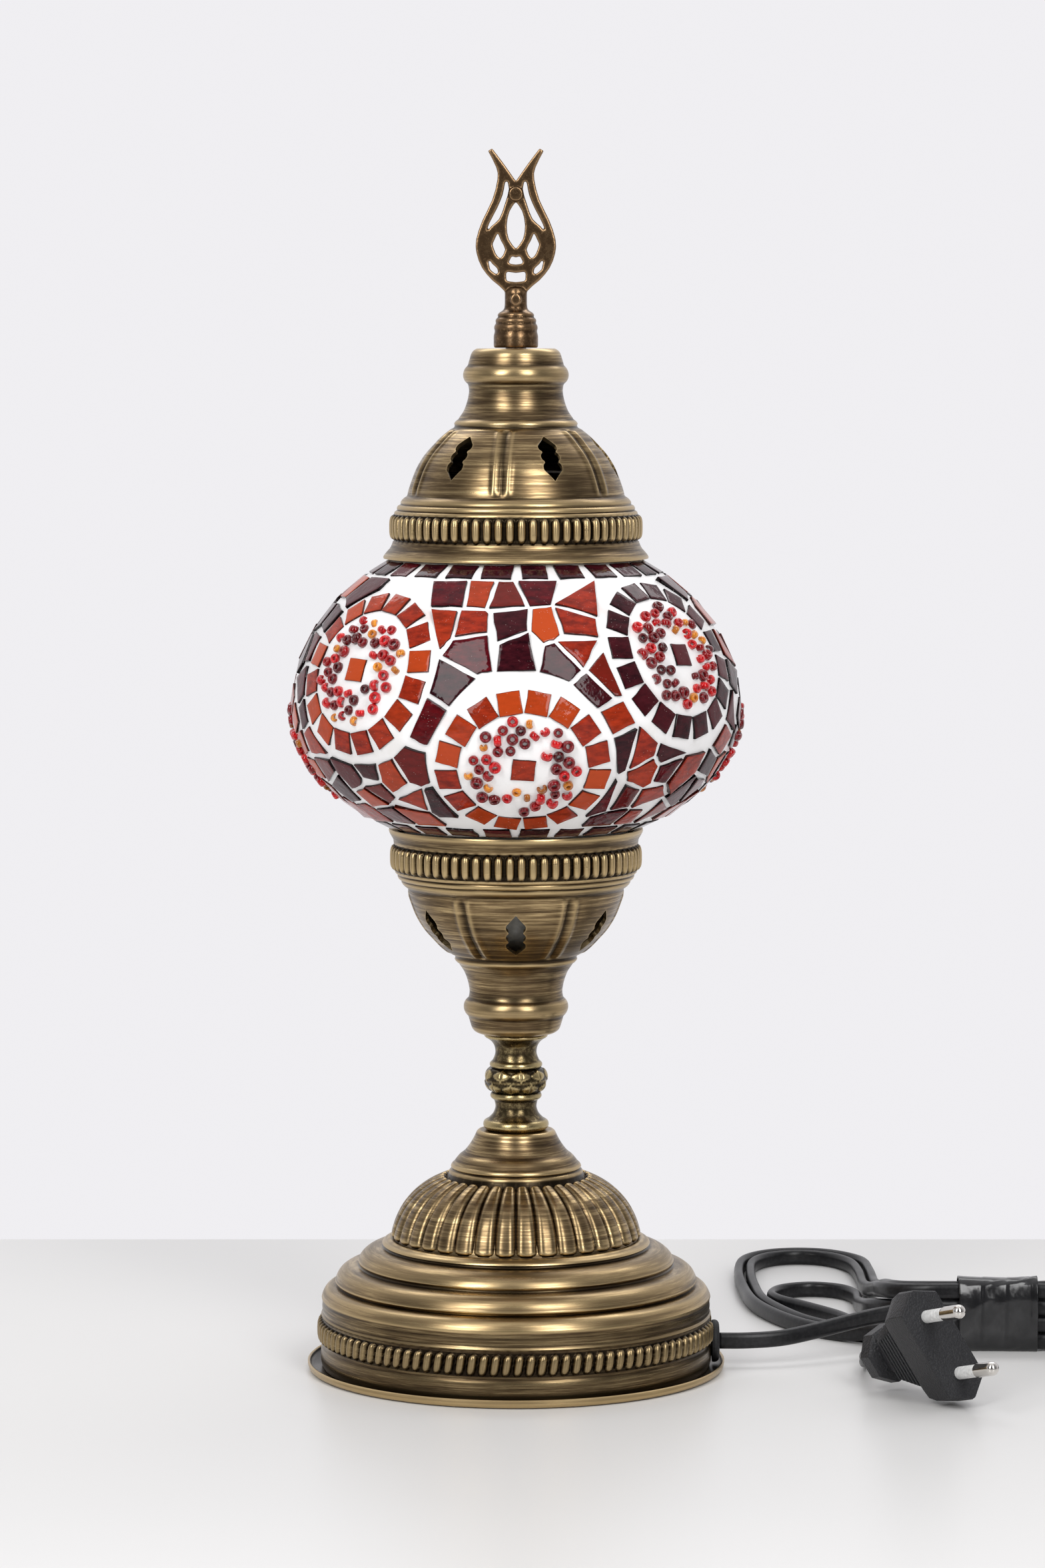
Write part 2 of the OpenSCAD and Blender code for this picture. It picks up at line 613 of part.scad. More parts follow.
module shards(low, high) {
    for (i = [0 : len(sites) - 1]) if (shard_kind[i] >= low && shard_kind[i] < high) {
        n = corner_count[i] < 0.06 ? 3 : corner_count[i] < 0.45 ? 4 : corner_count[i] < 0.75 ? 5 : 6;
        outline = cut_to(clip_all(blank, bounds(sites[i])), n);
        if (len(outline) > 2) on_surface(sites[i]) translate([0, 0, -tile_t]) linear_extrude(tile_t) polygon(outline);
    }
}

module maroon_shards() color(maroon) shards(0, 0.42);
module wine_shards() color(wine) shards(0.42, 0.7);
module brick_shards() color(brick) shards(0.7, 1.01);

// Seed beads fill each medallion in a sunflower spiral around its middle tile
beads_each = 60;
bead_kind = rands(0, 1, len(medallions) * beads_each, seed + 5);
bead_shift = rands(-0.14, 0.14, len(medallions) * beads_each * 2, seed + 6);
module seed_beads(low, high, r, h) {
    for (k = [0 : len(medallions) - 1], i = [11 : beads_each - 1]) {
        n = k * beads_each + i;
        if (bead_kind[n] >= low && bead_kind[n] < high) {
            c = middles[k];
            p = around(c, 2.1 * sqrt(i) + bead_shift[n * 2], i * 137.5 + k * 40 + bead_shift[n * 2 + 1] * 8);
            on_surface(p) translate([0, 0, -tile_t]) rotate_extrude()
                polygon([[0.55, 0], [r, 0], [r, h - 0.5], [r - 0.4, h], [0.75, h]]);
        }
    }
}

module red_beads() color([0.75, 0.05, 0.06]) seed_beads(0, 0.42, 1.4, 2.5);
module maroon_beads() color(maroon) seed_beads(0.42, 0.8, 1.4, 2.3);
module amber_beads() color(amber) seed_beads(0.8, 0.93, 1.25, 2.4);

// ---------------------------------------------------------------- cord

// The plug leans on the lower corner of its block, its pins pointing forward and up
plug_at = [120, -59, 18.15];
plug_turn = 27;
plug_rise = 14.5;
plug_roll = 63;
plug_l = 33;
plug_axis = [sin(plug_turn) * cos(plug_rise), -cos(plug_turn) * cos(plug_rise), sin(plug_rise)];

// Routes on the table, from the lamp to the hank's tie and back, by hand; the cord stands on edge
tie_x = 131;
tie_l = 24;
low = cord_h / 2;
lead_route = [[gland_x, 0, 7.5], [68, 0.3, 7.5], [78, 2.6, 7.8], [88, 7.5, 8.9], [98, 13, 10.3], [108, 18, 11.6],
    [119, 21.6, 12.7], [tie_x, 22.2, 12.9]];
inner_loop = [[tie_x, 25.8, 12.9], [121, 27.6, 12.6], [112.5, 32.5, 11.4], [107, 41.5, 9.6], [105.4, 53, 7.4],
    [105.4, 66, 5.2], [105.5, 80, 3], [105.5, 94, low], [101.5, 103, low], [92.5, 107, low], [83.5, 103, low],
    [79.5, 94, low], [81.5, 85, low], [88, 76, low], [97, 62, low], [103.8, 46.5, 2.8], [111, 37, 4.6],
    [121, 29.3, 7], [tie_x, 25.8, 7.9]];
outer_loop = [[tie_x, 22.2, 7.9], [121, 23.2, 7.2], [110, 27.5, 5], [98.5, 35, 2.8], [88, 45.5, low], [79, 63, low],
    [73.2, 84, low], [71, 112, low], [71, 134, low], [73.4, 152, low], [81, 162.8, low], [91.8, 166.3, low],
    [102.6, 162.8, low], [111, 151, low], [112.6, 134, low], [112.6, 112, 2.9], [112.6, 90, 6.2],
    [112.6, 67, 10.8], [112.6, 53, 13.4], [113.2, 41, 15.4], [116.4, 33, 16.6], [123, 27.4, 17.6],
    [tie_x, 25.8, 17.9]];
middle_loop = [[tie_x, 22.2, 17.9], [121, 23.6, 17.6], [112.5, 29, 16.8], [108.9, 38.5, 15.4], [108.9, 50, 13.4],
    [109, 66, 10.1], [109, 88, 6], [109, 110, 2.8], [109, 132, low], [107.2, 148, low], [101, 158.6, low],
    [91.6, 162.4, low], [82.2, 158.6, low], [76.2, 148, low], [74.6, 130, low], [74.8, 108, low], [76.8, 84, low],
    [84, 61, low], [91, 48, low], [101, 38, low], [112, 31, low], [121, 27.3, 2.5], [tie_x, 25.8, 2.9]];
plug_route = [[tie_x, 22.2, 2.9], [121, 21.2, low], [112, 15.6, low], [105.6, 6.6, low], [102, -4, 3],
    [101.2, -14, 5], [102.4, -22.6, 7.5], plug_at - plug_l * plug_axis];

// Runs beyond the hank: one straight to the switch, the other back from it in a wide turn
hank_end = 188;
hank_y = 24;
fold_r = 16.5;
hank_half = fold_r + cord_w / 2 + 0.1;
switch_x = 245.5;
switch_y = 25.8;
switch_in = switch_x - switch_l / 2;
switch_out = switch_x + switch_l / 2;
cord_z = 9;
to_switch = [[hank_end + hank_half, switch_y, 8.4], [switch_in, switch_y, cord_z]];
from_switch = [[switch_out, switch_y, cord_z], [284, 24.4, 8.2], [292, 19, 6], [295.6, 8, 3.6], [292.6, -4, low],
    [284, -11.4, low], [270, -13.8, low], [250, -13.8, low], [230, -11.4, 3.4], [212, -3.4, 6.2], [196.4, 6.8, 7.9]];

// One ring of the cord's oval section at p, across the direction t, its flat side facing across
sides = 8;
function section(p, t, across) = let (
    side = across == undef ? unit(cross(t, [0, 0, 1])) : across,
    tall = cross(side, unit(t))
) [for (k = [0 : sides - 1]) p + cos(k * 360 / sides) * cord_w / 2 * side + sin(k * 360 / sides) * low * tall];

// The cord swept along a route, square to the route's own direction at both ends
module swept(route, start = undef, end = undef, across = undef) {
    n = len(route) - 1;
    rings = [for (i = [0 : n]) each section(route[i],
        i == 0 && start != undef ? start : i == n && end != undef ? end : route[min(i + 1, n)] - route[max(i - 1, 0)],
        across)];
    polyhedron(rings, concat(
        [[for (k = [0 : sides - 1]) k]],
        [[for (k = [sides - 1 : -1 : 0]) n * sides + k]],
        [for (i = [0 : n - 1], k = [0 : sides - 1]) let (
            a = i * sides + k,
            b = i * sides + (k + 1) % sides
        ) each [[a, a + sides, b + sides], [a, b + sides, b]]]));
}

module lamp_cord() color(black) {
    swept(lead_route, right, right);
    swept(inner_loop, left, right);
    swept(to_switch, right, right);
}

module plug_cord() color(black) {
    swept(from_switch, right);
    swept(outer_loop, left, right);
    swept(middle_loop, left, right);
    swept(plug_route, left, plug_axis);
}

// Outer form of the folded runs: a neck through the tie and a round-ended bundle beyond it
hank_h = 20;
module cord_hank() color(black) {
    half = hank_half;
    neck = 3.6;
    translate([0, hank_y, 0.4]) linear_extrude(hank_h) polygon(concat(
        [[tie_x, neck], [tie_x, -neck], [tie_x + tie_l, -neck], [tie_x + tie_l + 8, -7.6],
         [tie_x + tie_l + 15, -15], [tie_x + tie_l + 22, -half]],
        arc([hank_end, 0], half, -90, 90, 12),
        [[tie_x + tie_l + 22, half], [tie_x + tie_l + 15, 15], [tie_x + tie_l + 8, 7.6], [tie_x + tie_l, neck]]));
}

// Black tape wound round the neck of the hank
module hank_tie() color(black) {
    half = 4.6;
    translate([tie_x + 0.2, hank_y, 0]) rotate([90, 0, 90]) linear_extrude(tie_l - 0.4) difference() {
        polygon([[-half + 0.8, 0], [half - 0.8, 0], [half, 0.8], [half, 20.4], [half - 1, 21.2], [-half + 1, 21.2],
            [-half, 20.4], [-half, 0.8]]);
        translate([-3.62, 0.38]) square([7.24, hank_h + 0.04]);
    }
}

// ---------------------------------------------------------------- plug

// Local frame: +Z along the pins, +X along the line between them, downwards to the right
module in_plug() {
    translate(plug_at) rotate([0, 0, plug_turn]) rotate([90 - plug_rise, 0, 0]) rotate([0, 0, -plug_roll]) children();
}

module plug_body() color(black) {
    face = [[-17.6, 0.4], [-13.6, 6.8], [13.6, 6.8], [17.6, 0.4], [17.6, -0.4], [13.6, -6.8], [-13.6, -6.8], [-17.6, -0.4]];
    in_plug() difference() {
        union() {
            translate([0, 0, -11]) linear_extrude(11) polygon(face);
            translate([0, 0, -28.5]) linear_extrude(18) polygon(
                [[-7.4, 3.6], [-5.6, 5.2], [5.6, 5.2], [7.4, 3.6], [7.4, -3.6], [5.6, -5.2], [-5.6, -5.2], [-7.4, -3.6]]);
            translate([0, 0, -16]) linear_extrude(6) polygon(
                [[-12.4, 3.6], [-9, 6], [9, 6], [12.4, 3.6], [12.4, -3.6], [9, -6], [-9, -6], [-12.4, -3.6]]);
            translate([0, 0, -plug_l]) rotate([0, 0, 22.5]) cylinder(r = 8, h = 5, $fn = 8);
        }
        for (side = [-1, 1]) translate([side * pin_gap / 2, 0, -8]) cylinder(r = 1.4, h = 10);
    }
}

module plug_pins() color(steel) {
    in_plug() for (side = [-1, 1]) translate([side * pin_gap / 2, 0, 0]) {
        translate([0, 0, -8]) cylinder(r = 1.4, h = 18);
        translate([0, 0, 10]) cylinder(r = 2, h = 7.2);
        translate([0, 0, 17.2]) intersection() {
            sphere(r = 2);
            cylinder(r = 3, h = 3);
        }
    }
}

module plug_sleeves() color(white) {
    in_plug() for (side = [-1, 1]) translate([side * pin_gap / 2, 0, 0.02]) ring(1.8, 1.4, 9.96);
}

// ---------------------------------------------------------------- inline switch

switch_w = 24;
pivot_z = 14.2;
pivot_r = 1.2;
window = [17.4, 9.6];

module switch_outline(inset) {
    l = switch_l / 2 - inset;
    w = switch_w / 2 - inset;
    polygon([[-l, -3.4], [-l + 5, -5.4], [-l + 13, -w], [l - 13, -w], [l - 5, -5.4], [l, -3.4],
        [l, 3.4], [l - 5, 5.4], [l - 13, w], [-l + 13, w], [-l + 5, 5.4], [-l, 3.4]]);
}

module at_switch(z = 0) translate([switch_x, switch_y, z]) children();
screw_places = [[-15, 0], [15, 0]];

module switch_base() color(black) {
    at_switch() difference() {
        linear_extrude(cord_z - 0.05) switch_outline(0);
        translate([0, 0, 1.8]) linear_extrude(10) difference() {
            switch_outline(1.8);
            for (s = [-1, 1]) translate([s * (switch_l / 2 - 4), 0]) square([8, 30], center = true);
            for (p = screw_places) translate(p) circle(r = 2.8, $fn = 32);
        }
        for (p = screw_places) translate([p.x, p.y, -1]) cylinder(r = 1.6, h = 12);
        for (p = screw_places) translate([p.x, p.y, -1]) cylinder(r = 3, h = 2.4);
    }
}

module switch_cover() color(black) {
    at_switch(cord_z + 0.05) difference() {
        union() {
            linear_extrude(6.4) switch_outline(0);
            translate([0, 0, 6.4]) linear_extrude(1.6) switch_outline(1.4);
        }
        translate([0, 0, -1]) linear_extrude(7.2) difference() {
            switch_outline(1.8);
            for (s = [-1, 1]) translate([s * (switch_l / 2 - 4), 0]) square([8, 30], center = true);
            for (p = screw_places) translate(p) circle(r = 2.8, $fn = 32);
            for (s = [-1, 1]) translate([0, s * (window.y / 2 + 1)]) square([8, 2], center = true);
        }
        for (p = screw_places) translate([p.x, p.y, -1]) cylinder(r = 1.25, h = 5);
        translate([-window.x / 2, -window.y / 2, -2]) cube([window.x, window.y, 20]);
        translate([0, 7, pivot_z - cord_z - 0.05]) rotate([90, 0, 0]) cylinder(r = pivot_r + 0.05, h = 14);
    }
}

// Rocker, at rest tipped to its off side
rocker_tip = 7;
module switch_rocker() color([0.1, 0.1, 0.105]) {
    at_switch(pivot_z) rotate([0, -rocker_tip, 0]) rotate([90, 0, 0]) {
        translate([0, 0, -4.6]) linear_extrude(9.2) polygon([[-7.9, 3.6], [-4, 2.5], [0, 2.2], [4, 2.5], [7.9, 3.6], [7.5, -1.2],
            [3, -3.2], [1.2, -4.2], [-1.2, -4.2], [-3, -3.2], [-7.5, -1.2]]);
        translate([0, 0, -6.6]) cylinder(r = pivot_r, h = 13.2);
    }
}

module switch_screws() color(steel) {
    at_switch() for (p = screw_places) translate(p) {
        translate([0, 0, 0.3]) cylinder(r = 2.8, h = 1.1);
        translate([0, 0, 1.2]) cylinder(r = 1.25, h = 11);
    }
}

// Fixed contacts under the rocker and the through link of the other core
module switch_contacts() color(brass) {
    at_switch() {
        for (s = [-1, 1]) translate([s * 9 - 3, -1.6, 1.9]) cube([6, 3.2, 1]);
        for (s = [-1, 1]) translate([s * 6.6 - 0.4, -1.6, 2.9]) cube([0.8, 3.2, 4.2]);
        translate([-18, 6, 1.9]) cube([36, 2, 1]);
    }
}

base_shell();
base_pan();
pan_washer();
pan_nut();
threaded_tube();
cord_gland();
inner_cord();
stem();
lower_cup();
cup_washer();
cup_nut();
holder_base();
holder_body();
holder_insert();
holder_screw_shell();
holder_contact();
holder_terminals();
core_wires();
bulb_glass();
bulb_cap();
bulb_insulator();
bulb_contact();
bulb_mount();
bulb_filaments();
globe_glass();
grout_bed();
orange_tiles();
maroon_tiles();
rim_tiles();
maroon_shards();
wine_shards();
brick_shards();
red_beads();
maroon_beads();
amber_beads();
cap_shell();
cap_stud();
cap_nuts();
cap_clip();
finial();
lamp_cord();
plug_cord();
cord_hank();
hank_tie();
plug_body();
plug_pins();
plug_sleeves();
switch_base();
switch_cover();
switch_rocker();
switch_screws();
switch_contacts();
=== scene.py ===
"""Looks of the mosaic glass table lamp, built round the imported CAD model.

The frame is the model's own: metres, +Z up, the front faces -Y.
Outlines and routes below are in millimetres, as in the CAD.
"""

import math
import random

import bmesh
import bpy
import numpy as np
from mathutils import Matrix, Vector


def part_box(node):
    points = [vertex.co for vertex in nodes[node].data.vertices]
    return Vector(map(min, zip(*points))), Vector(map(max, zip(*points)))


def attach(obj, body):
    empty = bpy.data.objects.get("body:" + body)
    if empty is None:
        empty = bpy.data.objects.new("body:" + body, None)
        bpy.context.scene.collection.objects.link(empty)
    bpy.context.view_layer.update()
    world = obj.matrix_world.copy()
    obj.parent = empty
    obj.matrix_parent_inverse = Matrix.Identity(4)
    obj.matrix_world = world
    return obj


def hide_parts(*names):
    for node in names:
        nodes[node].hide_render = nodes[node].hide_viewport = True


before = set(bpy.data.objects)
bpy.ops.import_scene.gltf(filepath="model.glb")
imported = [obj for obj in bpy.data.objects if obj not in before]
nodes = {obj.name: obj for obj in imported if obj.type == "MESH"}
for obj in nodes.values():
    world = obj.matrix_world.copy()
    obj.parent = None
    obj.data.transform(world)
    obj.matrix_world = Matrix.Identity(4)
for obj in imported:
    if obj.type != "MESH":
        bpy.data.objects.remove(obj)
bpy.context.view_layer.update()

MM = 0.001  # a millimetre, in the frame's metres
FULL = 2 * math.pi  # a full turn
FRONT = -math.pi / 2  # the angle round +Z that faces -Y
scene = bpy.context.scene
scene.view_settings.view_transform = "Standard"


# ------------------------------------------------------------------ camera

CAMERA_PLACE = Vector((0.0019, -1.442, 0.2974))
CAMERA_LENS = 114.7
CAMERA_TILT = math.radians(5.01)


def add_camera():
    data = bpy.data.cameras.new("camera")
    data.lens = CAMERA_LENS
    camera = bpy.data.objects.new("camera", data)
    camera.location = CAMERA_PLACE
    camera.rotation_euler = (math.pi / 2 - CAMERA_TILT, 0, 0)
    scene.collection.objects.link(camera)
    scene.camera = camera


add_camera()


# ------------------------------------------------------------------ node materials


class Look:
    """A material's node graph.

    Coordinates are the piece's own, in metres, so patterns move with the piece.
    """

    def __init__(self, name, **settings):
        self.slot = name
        self.material = bpy.data.materials.new(name)
        self.material.use_nodes = True
        self.tree = self.material.node_tree
        self.shader = self.tree.nodes["Principled BSDF"]
        self.place = self.tree.nodes.new("ShaderNodeTexCoord").outputs["Object"]
        self.set(**settings)

    def put(self, socket, value):
        if isinstance(value, bpy.types.NodeSocket):
            self.tree.links.new(value, socket)
        elif isinstance(value, tuple) and len(value) == 3 and socket.type == "RGBA":
            socket.default_value = (*value, 1)
        else:
            socket.default_value = value

    def set(self, **settings):
        """Sets the shader's sockets: base_color=... is its Base Color."""
        for name, value in settings.items():
            words = name.replace("_", " ").title().replace("Ior", "IOR")
            self.put(self.shader.inputs[words], value)

    def noise(self, stretch, detail=3.0, rough=0.5):
        """Noise with so many waves a metre, the same each way or (x, y, z)."""
        per_axis = stretch if isinstance(stretch, tuple) else (stretch, stretch, stretch)
        scaled = self.tree.nodes.new("ShaderNodeVectorMath")
        scaled.operation = "MULTIPLY"
        self.put(scaled.inputs[0], self.place)
        self.put(scaled.inputs[1], per_axis)
        noise = self.tree.nodes.new("ShaderNodeTexNoise")
        self.put(noise.inputs["Vector"], scaled.outputs[0])
        self.put(noise.inputs["Scale"], 1.0)
        self.put(noise.inputs["Detail"], detail)
        self.put(noise.inputs["Roughness"], rough)
        return noise.outputs["Fac"]

    def specks(self, per_metre, size):
        """1 inside small round specks scattered over the surface, 0 elsewhere."""
        cells = self.tree.nodes.new("ShaderNodeTexVoronoi")
        self.put(cells.inputs["Vector"], self.place)
        self.put(cells.inputs["Scale"], per_metre)
        return self.ramp(cells.outputs["Distance"], (size * 0.6, 1.0), (size, 0.0))

    def stored(self, name):
        """A value kept on the mesh; 0 on a mesh without it."""
        attribute = self.tree.nodes.new("ShaderNodeAttribute")
        attribute.attribute_name = name
        return attribute.outputs["Fac"]

    def ramp(self, fac, *stops):
        """Maps fac through (position, number) or (position, colour) stops."""
        ramp = self.tree.nodes.new("ShaderNodeValToRGB")
        self.put(ramp.inputs["Fac"], fac)
        elements = ramp.color_ramp.elements
        while len(elements) < len(stops):
            elements.new(0.5)
        for element, (position, value) in zip(elements, stops):
            element.position = position
            element.color = (*value, 1) if isinstance(value, tuple) else (value, value, value, 1)
        return ramp.outputs["Color"]

    def math(self, operation, a, b):
        node = self.tree.nodes.new("ShaderNodeMath")
        node.operation = operation
        node.use_clamp = operation == "ADD"
        self.put(node.inputs[0], a)
        self.put(node.inputs[1], b)
        return node.outputs[0]

    def mix(self, fac, a, b):
        node = self.tree.nodes.new("ShaderNodeMix")
        node.data_type = "RGBA"
        self.put(node.inputs["Factor"], fac)
        self.put(node.inputs[6], a)
        self.put(node.inputs[7], b)
        return node.outputs[2]

    def bump(self, height, depth):
        """Relief of depth metres from height."""
        node = self.tree.nodes.new("ShaderNodeBump")
        self.put(node.inputs["Height"], height)
        self.put(node.inputs["Distance"], depth)
        self.put(self.shader.inputs["Normal"], node.outputs["Normal"])
        return self


def antique(name, dark, middle, bright, patina_color, roughness, turned=True):
    """Antiqued metal: streaked along the turning, bright where it is worn, near-black in the recesses, and
    near-black too where a piece's stored patina value was raised for painted shade.
    """
    look = Look(name, metallic=1.0)
    streaks = look.noise((30, 30, 1100) if turned else (500, 500, 500), 5.0, 0.75)
    scratches = look.noise((90, 90, 4200) if turned else (1600, 1600, 1600), 2.0, 0.6)
    clouds = look.noise(45, 3.0)
    metal = look.ramp(streaks, (0.36, dark), (0.5, middle), (0.66, bright))
    metal = look.mix(look.ramp(clouds, (0.5, 0.0), (0.7, 0.6)), metal, tuple(c * 1.4 for c in dark))
    metal = look.mix(look.ramp(scratches, (0.58, 0.0), (0.72, 0.6)), metal, bright)
    metal = look.mix(look.stored("wear"), metal, bright)
    # darkening towards the near-black patina colour: patina in the recesses, the darker bottom of the base
    # skirt, and painted shade in the tray
    darkening = look.math("MULTIPLY", look.stored("patina_and_painted_shade"), look.ramp(clouds, (0.2, 1.0), (0.8, 0.86)))
    look.set(base_color=look.mix(darkening, metal, patina_color))
    look.set(roughness=look.ramp(streaks, (0.3, roughness + 0.14), (0.7, roughness)))
    return look.bump(scratches, 0.00002)


# The last colour of each is the near-black patina; on the brass it also paints the shade in the tray under
# the base.
BRASS = antique("antique_brass", (0.06, 0.039, 0.022), (0.18, 0.122, 0.062), (0.52, 0.385, 0.2),
                (0.01, 0.007, 0.005), 0.24)
STEM = antique("dark_cast_brass", (0.06, 0.042, 0.022), (0.13, 0.095, 0.045), (0.46, 0.36, 0.18),
               (0.012, 0.009, 0.007), 0.2, turned=False)
COPPER = antique("copper_cast", (0.075, 0.044, 0.023), (0.1, 0.06, 0.031), (0.27, 0.17, 0.09),
                 (0.012, 0.008, 0.006), 0.24, turned=False)


def plain_metal(name, color, roughness):
    """Bare metal with a fine turned grain."""
    look = Look(name, metallic=1.0)
    grain = look.noise((120, 120, 900), 4.0)
    look.set(base_color=look.mix(grain, tuple(c * 0.82 for c in color), color))
    look.set(roughness=look.ramp(grain, (0.3, roughness + 0.12), (0.7, roughness)))
    return look.bump(grain, 0.00001)


STEEL = plain_metal("zinc_steel", (0.62, 0.63, 0.65), 0.3)
SPRING = plain_metal("spring_steel", (0.42, 0.42, 0.43), 0.34)
NICKEL = plain_metal("nickel", (0.72, 0.69, 0.65), 0.1)
CONTACT = plain_metal("contact_brass", (0.75, 0.55, 0.24), 0.25)
SOLDER = plain_metal("solder", (0.6, 0.6, 0.63), 0.4)


def stained_glass(name, deep, clear, glow):
    """Cut stained glass: streaked panes, a shade of its own for each piece, dust and a wet gloss."""
    look = Look(name, roughness=0.1, specular_ior_level=0.2)
    streaks = look.noise((260, 260, 700), 5.0, 0.6)
    pane = look.mix(look.ramp(streaks, (0.35, 0.0), (0.68, 1.0)), deep, clear)
    pane = look.mix(look.stored("shade"), pane, glow)
    pane = look.mix(look.stored("rim"), pane, tuple(c * 0.18 for c in deep))
    dust = look.math("MULTIPLY", look.specks(1500, 0.16), look.ramp(look.noise(320), (0.52, 0.0), (0.6, 0.5)))
    look.set(base_color=look.mix(dust, pane, (0.62, 0.5, 0.46)))
    return look.bump(look.noise(420, 2.0), 0.00012)


ORANGE = stained_glass("orange_glass", (0.15, 0.011, 0.005), (0.36, 0.028, 0.009), (0.46, 0.06, 0.01))
MAROON = stained_glass("maroon_glass", (0.014, 0.002, 0.004), (0.05, 0.006, 0.01), (0.085, 0.006, 0.01))
WINE = stained_glass("wine_glass", (0.035, 0.001, 0.004), (0.11, 0.003, 0.007), (0.2, 0.02, 0.008))


def bead_glass(name, deep, clear):
    """Swirled, slightly clear glass of the seed beads."""
    look = Look(name, roughness=0.06, transmission_weight=0.1, ior=1.5, specular_ior_level=0.35)
    swirl = look.noise(900, 3.0)
    tone = look.mix(look.ramp(swirl, (0.35, 0.0), (0.65, 1.0)), deep, clear)
    look.set(base_color=look.mix(look.stored("shade"), tone, tuple(c * 0.45 for c in deep)))
    return look.bump(swirl, 0.00003)


RED_BEAD = bead_glass("red_bead", (0.34, 0.003, 0.006), (0.7, 0.012, 0.014))
MAROON_BEAD = bead_glass("maroon_bead", (0.1, 0.003, 0.006), (0.26, 0.009, 0.013))
AMBER_BEAD = bead_glass("amber_bead", (0.5, 0.13, 0.01), (0.85, 0.33, 0.03))


def grout_look():
    """White plaster with a faint pink stain where glass dust was wiped into it."""
    look = Look("grout", roughness=0.42, coat_weight=0.25, coat_roughness=0.2)
    smears = look.noise(120, 4.0)
    pits = look.noise(1500, 2.0)
    white = look.ramp(smears, (0.25, (0.8, 0.785, 0.77)), (0.45, (0.88, 0.87, 0.87)))
    pink = look.math("MULTIPLY", look.stored("stain"), 0.5)
    look.set(base_color=look.mix(pink, white, (0.5, 0.28, 0.24)))
    return look.bump(look.math("ADD", smears, look.math("MULTIPLY", pits, 0.3)), 0.00015)


def moulded(name, color, roughness, grain, depth, gloss=0.0):
    """Moulded plastic, rubber or ceramic with a fine skin."""
    look = Look(name, coat_weight=gloss, coat_roughness=0.12, specular_ior_level=0.35)
    skin = look.noise(grain, 2.0)
    wiped = look.noise(60, 3.0)
    paler = tuple(c * 1.5 + 0.01 for c in color)
    look.set(base_color=look.mix(look.ramp(skin, (0.4, 0.0), (0.7, 0.6)), color, paler))
    look.set(roughness=look.ramp(wiped, (0.3, roughness + 0.1), (0.7, roughness)))
    return look.bump(skin, depth)


GROUT = grout_look()
CORD = moulded("black_cord", (0.006, 0.006, 0.007), 0.3, 900, 0.00002)
RUBBER = moulded("black_rubber", (0.012, 0.012, 0.013), 0.55, 1800, 0.00005)
TAPE = moulded("black_tape", (0.007, 0.007, 0.008), 0.15, 260, 0.00018, 0.45)
PLASTIC = moulded("black_plastic", (0.013, 0.013, 0.015), 0.4, 1900, 0.00025)
GLOSS = moulded("black_gloss", (0.01, 0.01, 0.011), 0.14, 300, 0.00001, 0.6)
SLEEVE = moulded("pin_sleeve", (0.62, 0.62, 0.61), 0.4, 900, 0.00001)
BAKELITE = moulded("white_bakelite", (0.74, 0.72, 0.66), 0.25, 500, 0.00001, 0.3)
CERAMIC = moulded("white_ceramic", (0.78, 0.76, 0.71), 0.6, 1200, 0.00004)
CAP_GLASS = moulded("black_glass", (0.006, 0.006, 0.007), 0.06, 500, 0.00001, 1.0)
BLUE_CORE = moulded("core_insulation", (0.03, 0.07, 0.33), 0.4, 700, 0.00001)
FILAMENT = moulded("filament", (0.85, 0.5, 0.06), 0.5, 2500, 0.00006)


def clear_glass(name, tint, roughness, transmission=1.0):
    """Blown glass with a slight haze."""
    look = Look(name, base_color=tint, transmission_weight=transmission, ior=1.46)
    haze = look.noise(70, 3.0)
    look.set(roughness=look.ramp(haze, (0.4, roughness), (0.8, roughness + 0.03)))
    return look.bump(haze, 0.00003)


BULB_GLASS = clear_glass("bulb_glass", (0.97, 0.98, 1.0), 0.0)
GLOBE_GLASS = clear_glass("globe_glass", (0.9, 0.92, 0.93), 0.4, 0.75)


# ------------------------------------------------------------------ meshes


def add_mesh(name, points, faces, look, body, smooth=True, sharp=None):
    """A new piece from points in metres, on a CAD body."""
    mesh = bpy.data.meshes.new(name)
    mesh.from_pydata([tuple(p) for p in points], [], [tuple(f) for f in faces])
    mesh.update()
    mesh.polygons.foreach_set("use_smooth", [smooth] * len(mesh.polygons))
    if sharp:
        mesh.set_sharp_from_angle(angle=math.radians(sharp))
    piece = bpy.data.objects.new(name, mesh)
    scene.collection.objects.link(piece)
    mesh.materials.append(look.material)
    if body:
        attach(piece, body)
    return piece


def store(piece, name, values):
    """Keeps one number for each vertex, for the material."""
    values = np.asarray(values, dtype=np.float32)
    piece.data.attributes.new(name, "FLOAT", "POINT").data.foreach_set("value", values)


